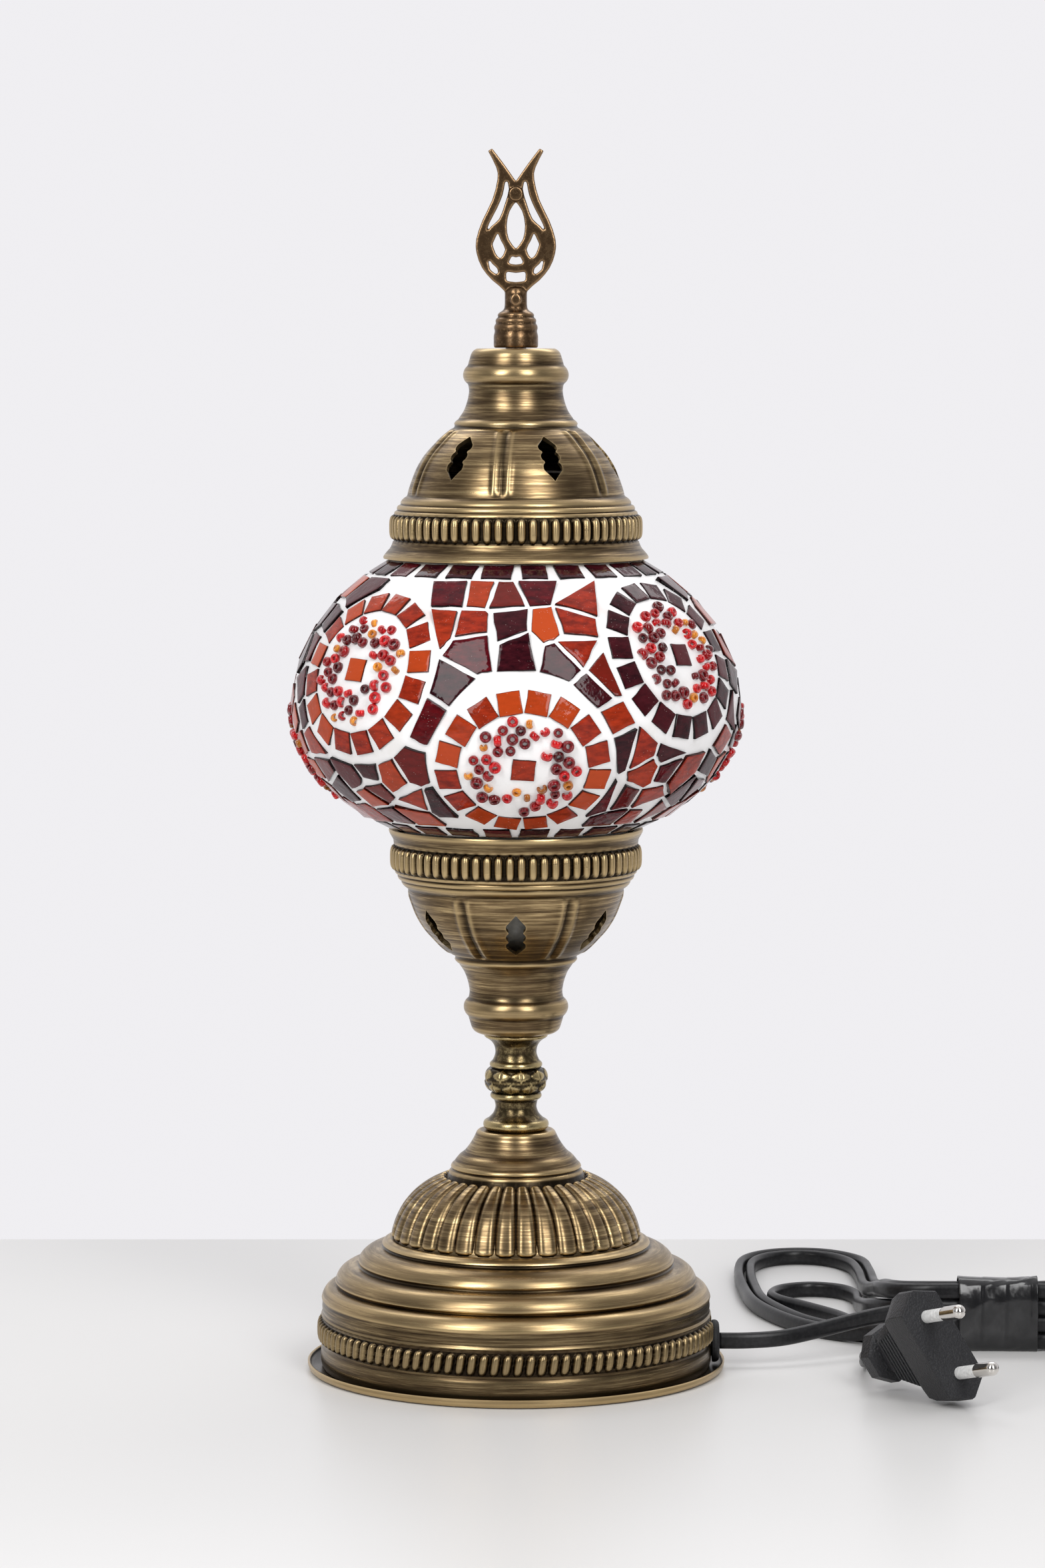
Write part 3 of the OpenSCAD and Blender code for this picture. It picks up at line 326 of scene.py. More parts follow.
def weather(piece, steps=6, full_wear=0.00012, full_patina=0.0002):
    """Stores wear on what stands out of the surface round it, and patina in what lies below it."""
    mesh = piece.data
    count = len(mesh.vertices)
    points = np.empty(count * 3)
    mesh.vertices.foreach_get("co", points)
    points = points.reshape(-1, 3)
    normals = np.empty(count * 3)
    mesh.vertex_normals.foreach_get("vector", normals)
    normals = normals.reshape(-1, 3)
    ends = np.empty(len(mesh.edges) * 2, dtype=np.int64)
    mesh.edges.foreach_get("vertices", ends)
    ends = ends.reshape(-1, 2)
    here, there = np.concatenate([ends, ends[:, ::-1]]).T
    degree = np.maximum(np.bincount(here, minlength=count), 1)
    blurred = points.copy()
    for _ in range(steps):
        blurred = np.stack([np.bincount(here, blurred[there, k], count) / degree for k in range(3)], axis=1)
    height = ((points - blurred) * normals).sum(axis=1)
    store(piece, "wear", np.clip(height / full_wear, 0, 1) ** 1.5 * 0.9)
    known = mesh.attributes.get("sunk")
    sunk = np.zeros(count, dtype=np.float32)
    if known:
        known.data.foreach_get("value", sunk)
    store(piece, "patina_and_painted_shade", np.clip(np.maximum(-height / full_patina, sunk), 0, 1))


def darken(piece, amount, where):
    """Raises the stored patina value of a weathered piece, darkening it towards the near-black patina colour,
    at the points that where() picks. It darkens the bottom of the base skirt and paints the shade in the
    tray.
    """
    values = piece.data.attributes["patina_and_painted_shade"].data
    for vertex, value in zip(piece.data.vertices, values):
        if where(vertex.co):
            value.value = max(value.value, amount)


def spline(points, step):
    """Points about every step along a smooth line (Catmull-Rom) through the given ones."""
    points = [Vector(p) for p in points]
    line = []
    for i in range(len(points) - 1):
        a, b = points[max(i - 1, 0)], points[i]
        c, d = points[i + 1], points[min(i + 2, len(points) - 1)]
        count = max(1, math.ceil((c - b).length / step))
        for k in range(count):
            u = k / count
            line.append(0.5 * (2 * b + (c - a) * u + (2 * a - 5 * b + 4 * c - d) * u * u
                               + (3 * b - a - 3 * c + d) * u ** 3))
    line.append(points[-1])
    return line


def bands(rings, around, first=0, closed=False):
    """Quads between rings of points, each ring to the next, and the last to the first when closed."""
    faces = []
    for i in range(rings if closed else rings - 1):
        low, high = first + i * around, first + (i + 1) % rings * around
        for j in range(around):
            k = (j + 1) % around
            faces.append((low + j, low + k, high + k, high + j))
    return faces


def turned_over(faces):
    """The same quads, facing the other way."""
    return [(a, d, c, b) for a, b, c, d in faces]


PLAIN_STEP, RELIEF_STEP = 0.55, 0.42  # mm between the rings of a turned piece


def lathe(name, stretches, around, look, body, foot=0.0, up=1):
    """A turned piece. Each stretch of its outline is (points of (radius, height) in mm, relief or None).

    relief(angle, t, radius) gives how far the surface stands out in mm, and how dark it is, at t along
    its stretch. The outline is closed: its last point joins the first.
    """
    angle = np.arange(around) * FULL / around
    outline, reliefs = [], []
    for points, relief in stretches:
        line = spline(points, RELIEF_STEP if relief else PLAIN_STEP)
        outline += line
        reliefs += [(relief, i / (len(line) - 1)) for i in range(len(line))]
    rings, sunk = [], []
    for i, (relief, t) in enumerate(reliefs):
        way = outline[min(i + 1, len(outline) - 1)] - outline[max(i - 1, 0)]
        way.normalize()
        radius, height = outline[i]
        rise, dark = relief(angle, t, radius) if relief else (0 * angle, 0 * angle)
        r = (radius + rise * way.y) * MM
        z = np.full(around, foot) + (height - rise * way.x) * MM * up
        rings.append(np.stack([r * np.cos(angle), r * np.sin(angle), z], axis=1))
        sunk.append(dark)
    faces = bands(len(rings), around, closed=True)
    if up < 0:
        faces = [face[::-1] for face in faces]
    piece = add_mesh(name, np.concatenate(rings), faces, look, body, sharp=50)
    store(piece, "sunk", np.concatenate(sunk))
    return piece


BUSH_CLEARANCE = 7


def beads(count, height, slant=0.0, clear_of=None):
    """Oval beads on a dark ground, left out beside a bush at the angle clear_of."""

    def relief(angle, t, radius):
        across = ((angle * count / FULL + slant * (t - 0.5)) % 1 - 0.5) * 2
        along = (t - 0.5) * 2
        body = np.clip(1 - np.abs(across / 0.8) ** 2 - abs(along / 0.92) ** 3, 0, 1)
        if clear_of is not None:
            away = np.abs((angle - clear_of + math.pi) % FULL - math.pi) * radius
            body = np.where(away < BUSH_CLEARANCE, 0, body)
        return height * np.sqrt(body), np.clip(1.05 - body * 1.9, 0, 1)

    return relief


def flutes(count, depth):
    """Convex flutes with round ends between narrow dark grooves."""

    def relief(angle, t, radius):
        across = np.abs((angle * count / FULL) % 1 - 0.5) * 2
        end = max(0.0, 1 - min(t / 0.06, (1 - t) / 0.05))
        edge = np.clip(np.sqrt(across ** 2 + end ** 2), 0, 1)
        return -depth * edge ** 3.5, 0.9 * edge ** 7

    return relief


def channels(count, turn):
    """Upright grooves between soft raised borders."""

    def relief(angle, t, radius):
        off = (((angle - turn) * count / FULL) % 1 - 0.5) * FULL / count * radius
        ends = min(1.0, t / 0.1, (1 - t) / 0.06)
        groove = np.exp(-((off / 0.75) ** 2))
        border = np.exp(-(((np.abs(off) - 2.1) / 0.95) ** 2))
        return (0.42 * border - 0.42 * groove) * ends, 0.8 * groove * ends

    return relief


def lines(count, depth):
    """Fine turned lines."""

    def relief(angle, t, radius):
        dip = 0.5 - 0.5 * math.cos(t * count * FULL)
        return 0 * angle - depth * dip, 0 * angle + 0.25 * dip

    return relief


def leaves(count, height):
    """Two rows of upright leaves with a plain band between them."""

    def relief(angle, t, radius):
        row = abs(t - 0.5) * 2
        across = np.abs((angle * count / FULL + (0.5 if t > 0.5 else 0)) % 1 - 0.5) * 2
        leaf = np.clip(1 - across / max(0.08, math.sin(math.pi * min(1, max(0, (row - 0.12) / 0.88)))), 0, 1)
        vein = np.exp(-((across / 0.12) ** 2))
        return height * (np.sqrt(leaf) - 0.4 * vein * leaf), np.clip(0.9 - leaf * 3, 0, 1) * (row > 0.12)

    return relief


def apply_modifiers(piece):
    """Makes the piece's modifiers part of its mesh."""
    evaluated = piece.evaluated_get(bpy.context.evaluated_depsgraph_get())
    mesh = bpy.data.meshes.new_from_object(evaluated)
    piece.modifiers.clear()
    piece.data = mesh


def cut(piece, cutter):
    """Cuts the cutter's shape out of the piece, and removes the cutter."""
    modifier = piece.modifiers.new("cut", "BOOLEAN")
    modifier.object = cutter
    modifier.solver = "EXACT"
    apply_modifiers(piece)
    bpy.data.objects.remove(cutter)


def paint(look, *names):
    """Gives CAD nodes a material."""
    for name in names:
        mesh = nodes[name].data
        mesh.materials.clear()
        mesh.materials.append(look.material)


def round_edges(piece, width, angle):
    """Rounds the edges that turn by more than angle degrees."""
    bevel = piece.modifiers.new("soft edges", "BEVEL")
    bevel.width = width
    bevel.segments = 3
    bevel.limit_method = "ANGLE"
    bevel.angle_limit = math.radians(angle)


def soften(width, *names):
    """Rounds the edges of CAD nodes."""
    for name in names:
        round_edges(nodes[name], width, 32)


# ------------------------------------------------------------------ cords

CORD_TALL, CORD_WIDE = 4.8, 3.2
LOW = CORD_TALL / 2
TIE_X, TIE_LONG, HANK_Y = 131, 24, 24
FOLD_X, FOLD_R = 188, 16.5
LEAD = [(59.4, 0, 7.5), (68, 0.3, 7.5), (78, 2.6, 7.8), (88, 7.5, 8.9), (98, 13, 10.3), (108, 18, 11.6),
        (119, 21.6, 12.7), (TIE_X, 22.2, 12.9)]
INNER_LOOP = [(TIE_X, 25.8, 12.9), (121, 27.6, 12.6), (112.5, 32.5, 11.4), (107, 41.5, 9.6),
              (105.4, 53, 7.4), (105.4, 66, 5.2), (105.5, 80, 3), (105.5, 94, LOW), (101.5, 103, LOW),
              (92.5, 107, LOW), (83.5, 103, LOW), (79.5, 94, LOW), (81.5, 85, LOW), (88, 76, LOW),
              (97, 62, LOW), (103.8, 46.5, 2.8), (111, 37, 4.6), (121, 29.3, 7), (TIE_X, 25.8, 7.9)]
OUTER_LOOP = [(TIE_X, 22.2, 7.9), (121, 23.2, 7.2), (110, 27.5, 5), (98.5, 35, 2.8), (88, 45.5, LOW),
              (79, 63, LOW), (73.2, 84, LOW), (71, 112, LOW), (71, 134, LOW), (73.4, 152, LOW),
              (81, 162.8, LOW), (91.8, 166.3, LOW), (102.6, 162.8, LOW), (111, 151, LOW),
              (112.6, 134, LOW), (112.6, 112, 2.9), (112.6, 90, 6.2), (112.6, 67, 10.8),
              (112.6, 53, 13.4), (113.2, 41, 15.4), (116.4, 33, 16.6), (123, 27.4, 17.6),
              (TIE_X, 25.8, 17.9)]
MIDDLE_LOOP = [(TIE_X, 22.2, 17.9), (121, 23.6, 17.6), (112.5, 29, 16.8), (108.9, 38.5, 15.4),
               (108.9, 50, 13.4), (109, 66, 10.1), (109, 88, 6), (109, 110, 2.8), (109, 132, LOW),
               (107.2, 148, LOW), (101, 158.6, LOW), (91.6, 162.4, LOW), (82.2, 158.6, LOW),
               (76.2, 148, LOW), (74.6, 130, LOW), (74.8, 108, LOW), (76.8, 84, LOW), (84, 61, LOW),
               (91, 48, LOW), (101, 38, LOW), (112, 31, LOW), (121, 27.3, 2.5), (TIE_X, 25.8, 2.9)]
TO_PLUG = [(TIE_X, 22.2, 2.9), (121, 21.2, LOW), (112, 15.6, LOW), (105.6, 6.6, LOW), (102, -4, 3),
           (101.2, -14, 5), (102.4, -22.6, 7.5)]
SWITCH_IN, SWITCH_OUT = (216, 25.8, 9), (275, 25.8, 9)
FROM_SWITCH = [SWITCH_OUT, (284, 24.4, 8.2), (292, 19, 6), (295.6, 8, 3.6), (292.6, -4, LOW),
               (284, -11.4, LOW), (270, -13.8, LOW), (250, -13.8, LOW), (230, -11.4, 3.4),
               (212, -3.4, 6.2), (196.4, 6.8, 7.9)]

PLUG_AT = Vector((120, -59, 18.15))
PLUG_TURN, PLUG_RISE, PLUG_ROLL = math.radians(27), math.radians(14.5), math.radians(63)
PLUG_LONG = 33
PLUG_FRAME = (Matrix.Translation(PLUG_AT) @ Matrix.Rotation(PLUG_TURN, 4, "Z")
              @ Matrix.Rotation(math.pi / 2 - PLUG_RISE, 4, "X") @ Matrix.Rotation(-PLUG_ROLL, 4, "Z"))
PLUG_REAR = tuple(PLUG_FRAME @ Vector((0, 0, -PLUG_LONG)))


def fold(z, far_first=False):
    """Out of the tie, round the hank's end and back, in the layer at height z."""
    out = [(TIE_X + TIE_LONG / 2, 22.2), (TIE_X + TIE_LONG, 22.2), (162, 19.6), (169, 13), (177, 8.4)]
    bend = [(FOLD_X + FOLD_R * math.sin(a), HANK_Y - FOLD_R * math.cos(a))
            for a in (math.radians(30 * k) for k in range(4))]
    near = out + bend
    far = [(x, 2 * HANK_Y - y) for x, y in reversed(near[:-1])]
    run = [(x, y, z) for x, y in near + far]
    return run[::-1] if far_first else run


def sweep(name, route, look, body):
    """The flat twin cord along a route in mm, standing on edge, with a shallow groove between its cores."""
    line = spline(route, 1.3)
    sides = 20
    flatness, groove_depth, groove_width = 0.75, 0.13, 0.2
    points = []
    for i, place in enumerate(line):
        way = (line[min(i + 1, len(line) - 1)] - line[max(i - 1, 0)]).normalized()
        side = way.cross(Vector((0, 0, 1))).normalized()
        up = side.cross(way)
        for k in range(sides):
            a = k * FULL / sides
            flat = math.copysign(abs(math.cos(a)) ** flatness, math.cos(a)) * CORD_WIDE / 2
            flat *= 1 - groove_depth * math.exp(-((math.sin(a) / groove_width) ** 2))
            points.append((place + side * flat + up * math.sin(a) * CORD_TALL / 2) * MM)
    faces = bands(len(line), sides)
    faces.append(tuple(range(sides))[::-1])
    faces.append(tuple((len(line) - 1) * sides + k for k in range(sides)))
    return add_mesh(name, points, faces, look, body), [tuple(p * MM) for p in line]


def add_cords():
    """The lead to the switch and the lead to the plug, folded together into the hank."""
    lamp_route = (LEAD + fold(12.9) + INNER_LOOP
                  + [(TIE_X + TIE_LONG, 25.8, 7.9), (180, 25.8, 8.0), (206.2, 25.8, 8.4), SWITCH_IN])
    plug_route = (FROM_SWITCH
                  + [(186, 10.6, 7.9), (176, 15.2, 7.9), (165, 20.4, 7.9), (TIE_X + TIE_LONG, 22.2, 7.9)]
                  + OUTER_LOOP + fold(17.9, True) + MIDDLE_LOOP + fold(2.9, True) + TO_PLUG + [PLUG_REAR])
    to_switch, first_path = sweep("cord_to_switch", lamp_route, CORD, "lamp")
    to_plug, second_path = sweep("cord_to_plug", plug_route, CORD, "lamp")
    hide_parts("lamp_cord", "cord_hank")
    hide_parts("plug_cord")
    return to_switch, first_path, to_plug, second_path


def add_tie():
    """Black tape wound tightly round the neck of the hank, wrinkled, with the edges of its turns showing."""
    rng = random.Random(5)
    around, along = 72, 60
    half_wide, half_tall, middle = 5, 10.85, 10.65
    roundness = 0.7
    end_gap, table_gap = 0.3, 0.45
    turns_of_tape, edge_step, edge_slope = 3.2, 0.16, 0.12
    puckers = [(rng.uniform(0, FULL), rng.uniform(0, 1), rng.uniform(0.1, 0.3)) for _ in range(26)]
    points = []
    for i in range(along + 1):
        t = i / along
        x = TIE_X + end_gap + (TIE_LONG - 2 * end_gap) * t
        for k in range(around):
            a = k * FULL / around
            y = math.copysign(abs(math.cos(a)) ** roundness, math.cos(a))
            z = math.copysign(abs(math.sin(a)) ** roundness, math.sin(a))
            turn = (t * turns_of_tape + a / FULL * 0.25) % 1
            bulge = edge_step * min(1, turn * 9) - edge_slope * turn
            for at, place, size in puckers:
                gap = (a - at + math.pi) % FULL - math.pi
                off = t - place
                bulge += size * math.exp(-((gap + off * 1.6) / 0.13) ** 2 - (off / 0.2) ** 2) * 0.9
            drawn_in = 0.9 * (1 - (2 * t - 1) ** 4) + 0.35 * math.sin(3 * a + 5 * t)
            y *= half_wide + bulge - 0.3 * drawn_in
            z = middle + z * (half_tall + bulge - 0.3 * drawn_in)
            points.append(Vector((x, HANK_Y + y, max(z, table_gap))) * MM)
    faces = turned_over(bands(along + 1, around))
    piece = add_mesh("tape_tie", points, faces, TAPE, "lamp", sharp=50)
    wall = piece.modifiers.new("tape thickness", "SOLIDIFY")
    wall.thickness = 0.4 * MM
    wall.offset = -1
    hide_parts("hank_tie")
    return piece


# ------------------------------------------------------------------ plug and switch


def plug_section(tip, flat, half, blunt):
    """One cross-section of the plug: an octagon that is pointed at both ends of its long side."""
    return [(tip, blunt), (flat, half), (-flat, half), (-tip, blunt),
            (-tip, -blunt), (-flat, -half), (flat, -half), (tip, -blunt)]


def add_plug():
    """The moulded plug body: a six-sided face block, a ribbed waist and an eight-sided rear.

    Each section is (place behind the face, then what plug_section takes).
    """
    block = [(0, 17.5, 13.4, 6.7, 0.5), (-0.6, 17.7, 13.6, 6.85, 0.5), (-7.5, 17.7, 13.6, 6.85, 0.5),
             (-11, 16.6, 12.6, 6.6, 0.8), (-12.6, 13.4, 9.8, 6.1, 2)]
    groove = 0.8
    rib = ((0, groove), (0.35, groove), (0.6, 0), (1.3, 0), (1.55, groove))
    ribs = [(-13.4 - 1.75 * i - part, 12.2 - 0.75 * i - low, 8.6 - 0.5 * i - low,
             5.8 - 0.1 * i - low * 0.6, 2.6)
            for i in range(6) for part, low in rib]
    waist = [(-24.6, 6.8, 3.6, 4.9, 2.7), (-26.4, 6.2, 3, 4.8, 2.6)]
    rear = [(-27, 7.2, 3, 7.2, 3), (-27.6, 7.9, 3.3, 7.9, 3.3), (-32.2, 7.9, 3.3, 7.9, 3.3),
            (-32.9, 7.3, 3, 7.3, 3)]
    sections = block + ribs + waist + rear
    points = [PLUG_FRAME @ Vector((x, y, w)) * MM for w, *shape in sections for x, y in plug_section(*shape)]
    faces = turned_over(bands(len(sections), 8))
    faces += [tuple(range(8)), tuple((len(sections) - 1) * 8 + k for k in reversed(range(8)))]
    piece = add_mesh("moulded_plug", points, faces, PLASTIC, "lamp", sharp=30)
    round_edges(piece, 0.35 * MM, 22)
    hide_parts("plug_body")
    return piece


cord_1, path_1, cord_2, path_2 = add_cords()
tie = add_tie()
plug = add_plug()

paint(NICKEL, "plug_pins")
paint(SLEEVE, "plug_sleeves")
paint(PLASTIC, "switch_base", "switch_cover")
paint(GLOSS, "switch_rocker")
paint(STEEL, "switch_screws")
paint(CONTACT, "switch_contacts")
soften(0.6 * MM, "switch_base", "switch_cover")
soften(0.3 * MM, "switch_rocker")


# ------------------------------------------------------------------ brass

BASE_TOP = 70
SKIRT_TOP = 20.4
PAN_R = 60.9
TUBE_HOLE = 5.1


def add_base():
    """The stepped base: beaded skirt, three steps, a fluted dome and a waisted neck."""
    stretches = [
        ([(55.6, 0.9), (56.4, 0.9)], None),
        ([(56.5, 1.1), (56.95, 2.4), (57, 4.4), (56.9, 6.6), (56.6, 7.4), (56.6, 8.2)], None),
        ([(56.6, 8.4), (56.6, 14.9)], beads(107, 1.5, -0.35, clear_of=0)),
        ([(56.6, 15.1), (56.6, 15.6), (56.9, 16.1), (56.7, 16.6)], None),
        ([(56.6, 16.7), (56.6, SKIRT_TOP)], lines(7, 0.1)),
        ([(56.6, 20.6), (56.75, 21.1), (56.6, 21.6), (56.1, 22.7), (55.2, 23.8), (53.6, 24.5),
          (52.2, 24.7)], None),
        ([(52, 24.8), (52.3, 25.3), (52.75, 25.8), (52.6, 26.4), (52.1, 27.6), (51.2, 28.8), (49.6, 29.8),
          (47.4, 30.2), (46, 30.3)], None),
        ([(45.8, 30.4), (45.7, 31), (46.05, 31.5), (45.9, 32.1), (45.2, 33.3), (43.6, 34.7), (41.4, 35.6),
          (39, 35.9)], None),
        ([(38.8, 36), (38.7, 36.4), (39.05, 36.8), (38.7, 37.4), (37.8, 37.9), (36.9, 38.4)], None),
        ([(36.7, 38.8), (35.3, 43.4), (33.2, 47.6), (30.6, 50.9), (28, 53.2), (24.4, 55.4), (20.8, 56.9)],
         flutes(36, 1.35)),
        ([(19.6, 57.3), (19.5, 57.9), (19.1, 58.4), (18.7, 58.6)], None),
        ([(18.6, 58.8), (19, 59.3), (18.7, 60), (18.2, 60.4)], None),
        ([(17.9, 60.8), (16.6, 62.4), (14.9, 63.8), (13.3, 65.9), (12.2, 67.8), (11.6, 69.1)], None),
        ([(11.4, 69.5), (10.9, 69.95), (10.3, BASE_TOP)], None),
        ([(9.4, BASE_TOP), (TUBE_HOLE, BASE_TOP)], None),
        ([(TUBE_HOLE, 69.2), (9.8, 69.2), (12.6, 64), (17.2, 59.6), (17.6, 56.6), (23.4, 54.2), (29.4, 50.2),
          (33, 45.2), (35.2, 40), (36.8, 35.6), (43.6, 33), (44.4, 29.4), (49.8, 27), (50.2, 24),
          (54.4, 22.6), (55.8, 20.5), (55.6, 5)], None),
    ]
    piece = lathe("base_dish", stretches, 1070, BRASS, "lamp")
    weather(piece)
    # darker towards the bottom: the skirt below SKIRT_TOP is darkened to at least 0.45 of the near-black
    # patina colour
    darken(piece, 0.45, lambda p: p.z < SKIRT_TOP * MM)
    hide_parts("base_shell")


def add_pan():
    """The shallow tray under the base, with its upturned rim and a raised middle for the nut."""
    inside_rim = 60.15
    stretches = [
        ([(19, 0), (58.6, 0)], None),
        ([(58.8, 0), (60.2, 0.35), (60.75, 1.2), (PAN_R, 2.2)], None),
        ([(PAN_R, 2.35), (60.6, 2.6), (60.2, 2.45)], None),
        ([(60.1, 2.2), (60, 1.6), (59.2, 0.95), (57.6, 0.8)], None),
        ([(57, 0.8), (19.6, 0.8)], None),
        ([(19.4, 0.9), (18.3, 7.6), (17.6, 8)], None),
        ([(17, 8), (TUBE_HOLE, 8)], None),
        ([(TUBE_HOLE, 7.2), (17.2, 7.2)], None),
    ]
    piece = lathe("base_tray", stretches, 360, BRASS, "lamp")
    weather(piece, 4)
    # Painted shade: the tray's upper face inside its rim, seen in the gap under the base skirt, is set to the
    # full near-black patina colour.
    darken(piece, 1, lambda p: p.z > 0.5 * MM and math.hypot(p.x, p.y) < inside_rim * MM)
    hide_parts("base_pan")


def add_stem():
    """The cast stem, with a barrel of leaves between two waists."""
    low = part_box("stem")[0].z
    stretches = [
        ([(TUBE_HOLE, 0), (8.4, 0)], None),
        ([(8.7, 0.2), (9.4, 0.9), (9.55, 1.8), (9.2, 2.7), (8.2, 3.3)], None),
        ([(7.9, 3.5), (6.7, 4.8), (6.1, 6.2), (6, 7.2), (6.3, 8.6)], None),
        ([(6.4, 8.8), (7.2, 9.4), (7.5, 10.1), (7.2, 10.9), (6.9, 11.2)], None),
        ([(7.3, 11.5), (8.3, 12.6), (8.85, 14), (8.95, 15.4), (8.7, 16.6), (8, 17.8)], leaves(9, 0.45)),
        ([(7.2, 18.2), (7.6, 18.8), (7.6, 19.6), (6.9, 20.3)], None),
        ([(6.7, 20.6), (6.2, 21.8), (6, 23), (6.3, 24.6), (7.2, 26), (8.4, 26.9)], None),
        ([(8.8, 27.1), (9.25, 27.6), (9.1, 28.2), (8.6, 28.4)], None),
        ([(8.2, 28.4), (TUBE_HOLE, 28.4)], None),
    ]
    piece = lathe("cast_stem", stretches, 288, STEM, "lamp", foot=low)
    weather(piece)
    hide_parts("stem")


VENTS = 6
DISH_BEADS = 68
DISH_TALL = 59.8
STUD_HOLE = 3.2


def vent_cutters(first, low, up):
    """Six pointed scalloped prisms, square to the dish's shoulder."""
    shape = []
    for side in (1, -1):
        for k in range(3):
            middle = (1 - k) * 3.5 * side
            lobe = [(side * (1.4 + 1.5 * math.cos(a)), middle + side * 1.75 * math.sin(a))
                    for a in (math.radians(60 - 30 * n) for n in range(5))]
            shape += lobe
        shape.append((0, -7.6 * side))
    points, faces = [], []
    count = len(shape)
    lean = math.radians(50)
    axis_out, axis_high = 18, 22.4
    for i in range(VENTS):
        turn = Matrix.Rotation(first + i * FULL / VENTS, 4, "Z")
        for reach in (4, 16):
            for x, y in shape:
                out = axis_out + reach * math.sin(lean) - y * math.cos(lean)
                high = axis_high + reach * math.cos(lean) + y * math.sin(lean)
                points.append(turn @ Vector((out * MM, x * MM, low + high * MM * up)))
        first_point = i * 2 * count
        outside = [first_point + count + k for k in range(count)]
        inside = [first_point + k for k in range(count)]
        prism = [outside, inside[::-1]] + bands(2, count, first_point)
        faces += [face if up > 0 else face[::-1] for face in prism]
    piece = add_mesh("vent_cutters", points, faces, BRASS, None, smooth=False)
    mesh = bmesh.new()
    mesh.from_mesh(piece.data)
    bmesh.ops.recalc_face_normals(mesh, faces=mesh.faces)
    mesh.to_mesh(piece.data)
    mesh.free()
    return piece


def add_dish(name, node, slot_turn, low, up, lip, body):
    """The cap, or turned over the cup: beaded band, grooved and pierced shoulder, waisted collar."""
    hole = TUBE_HOLE if up < 0 else STUD_HOLE
    stretches = [
        (lip, None),
        ([(35.1, 4.8), (35.1, 12.2)], beads(DISH_BEADS, 1.45)),
        ([(35.15, 12.4), (35, 12.9), (34.5, 13.3)], None),
        ([(34.2, 13.4), (34.35, 14), (34, 14.7), (33.3, 15)], None),
        ([(33.2, 15.1), (33.2, 15.8), (32.5, 16.7), (31.5, 17.4)], None),
        ([(31.3, 17.7), (30.9, 19.4), (29.8, 22.6), (28.7, 25.3), (27.3, 27.8), (25.8, 29.9), (23.8, 32.1),
          (21.6, 34.4), (18.9, 36.6)], channels(VENTS, slot_turn)),
        ([(18.5, 36.8), (17.8, 37.2), (17.65, 37.8), (17.8, 38.3), (17.3, 39), (16.6, 39.5)], None),
        ([(16.3, 40), (15, 42), (14.1, 44.4), (13.6, 46.6), (13.5, 48), (13.7, 49.3)], None),
        ([(13.9, 49.7), (14.7, 50.5), (15.15, 51.6), (15.15, 52.8), (14.7, 54), (14, 54.8)], None),
        ([(13.8, 55.1), (13.5, 56.2), (13.2, 57.2), (12.8, 58.4), (12.1, 59.3), (11.2, DISH_TALL)], None),
        ([(10.8, DISH_TALL), (hole, DISH_TALL)], None),
        ([(hole, 58.8), (11, 58), (11.6, 56), (12.6, 52.6), (12.2, 50), (12.6, 44), (14.8, 40), (16.4, 36.8),
          (22.6, 31.6), (26.4, 27.2), (28.8, 22.4), (30.4, 17.2), (32.6, 14), (34.3, 12),
          (34.4, 4), (34.4, 0.6)], None),
    ]
    piece = lathe(name, stretches, DISH_BEADS * 10, BRASS, body, foot=low, up=up)
    cut(piece, vent_cutters(slot_turn, low, up))
    piece.data.set_sharp_from_angle(angle=math.radians(50))
    weather(piece)
    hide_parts(node)


CUP_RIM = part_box("lower_cup")[1].z
CAP_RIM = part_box("cap_shell")[1].z - DISH_TALL * MM
CAP_LIP = [(37.3, -0.6), (38.2, -0.45), (38.3, -0.1), (38, 0.5), (37.2, 1.5), (36.4, 2.4), (35.9, 3.3),
           (35.5, 4.4)]
CUP_LIP = [(36.2, 0), (36.7, 0.1), (36.85, 0.5), (36.7, 1.2), (36.1, 2.3), (35.6, 3.2), (35.45, 4.4)]


def add_finial():
    """The cast tulip: its CAD form with the soft edges and uneven skin of a sand casting."""
    source = nodes["finial"]
    mesh = source.data.copy()
    piece = bpy.data.objects.new("cast_tulip", mesh)
    scene.collection.objects.link(piece)
    mesh.materials.clear()
    mesh.materials.append(COPPER.material)
    grid = piece.modifiers.new("grid", "REMESH")
    grid.mode = "VOXEL"
    grid.voxel_size = 0.26 * MM
    grid.use_smooth_shade = True
    soft = piece.modifiers.new("soft", "SMOOTH")
    soft.iterations = 5
    soft.factor = 0.5
    apply_modifiers(piece)
    piece.data.polygons.foreach_set("use_smooth", [True] * len(piece.data.polygons))
    weather(piece, 8, 0.0001, 0.00025)
    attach(piece, "cap")
    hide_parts("finial")


add_base()
add_pan()
add_stem()
add_dish("cup_dish", "lower_cup", FRONT, CUP_RIM, -1, CUP_LIP, "lamp")
add_dish("cap_dish", "cap_shell", FRONT + math.radians(22), CAP_RIM, 1, CAP_LIP, "cap")
add_finial()


# ------------------------------------------------------------------ mosaic

GLOBE_R, GLOBE_UP, GLOBE_DOWN = 65 * MM, 52 * MM, 41.3 * MM
GLOBE_MID = Vector((0, 0, CUP_RIM + 34.6 * MM))


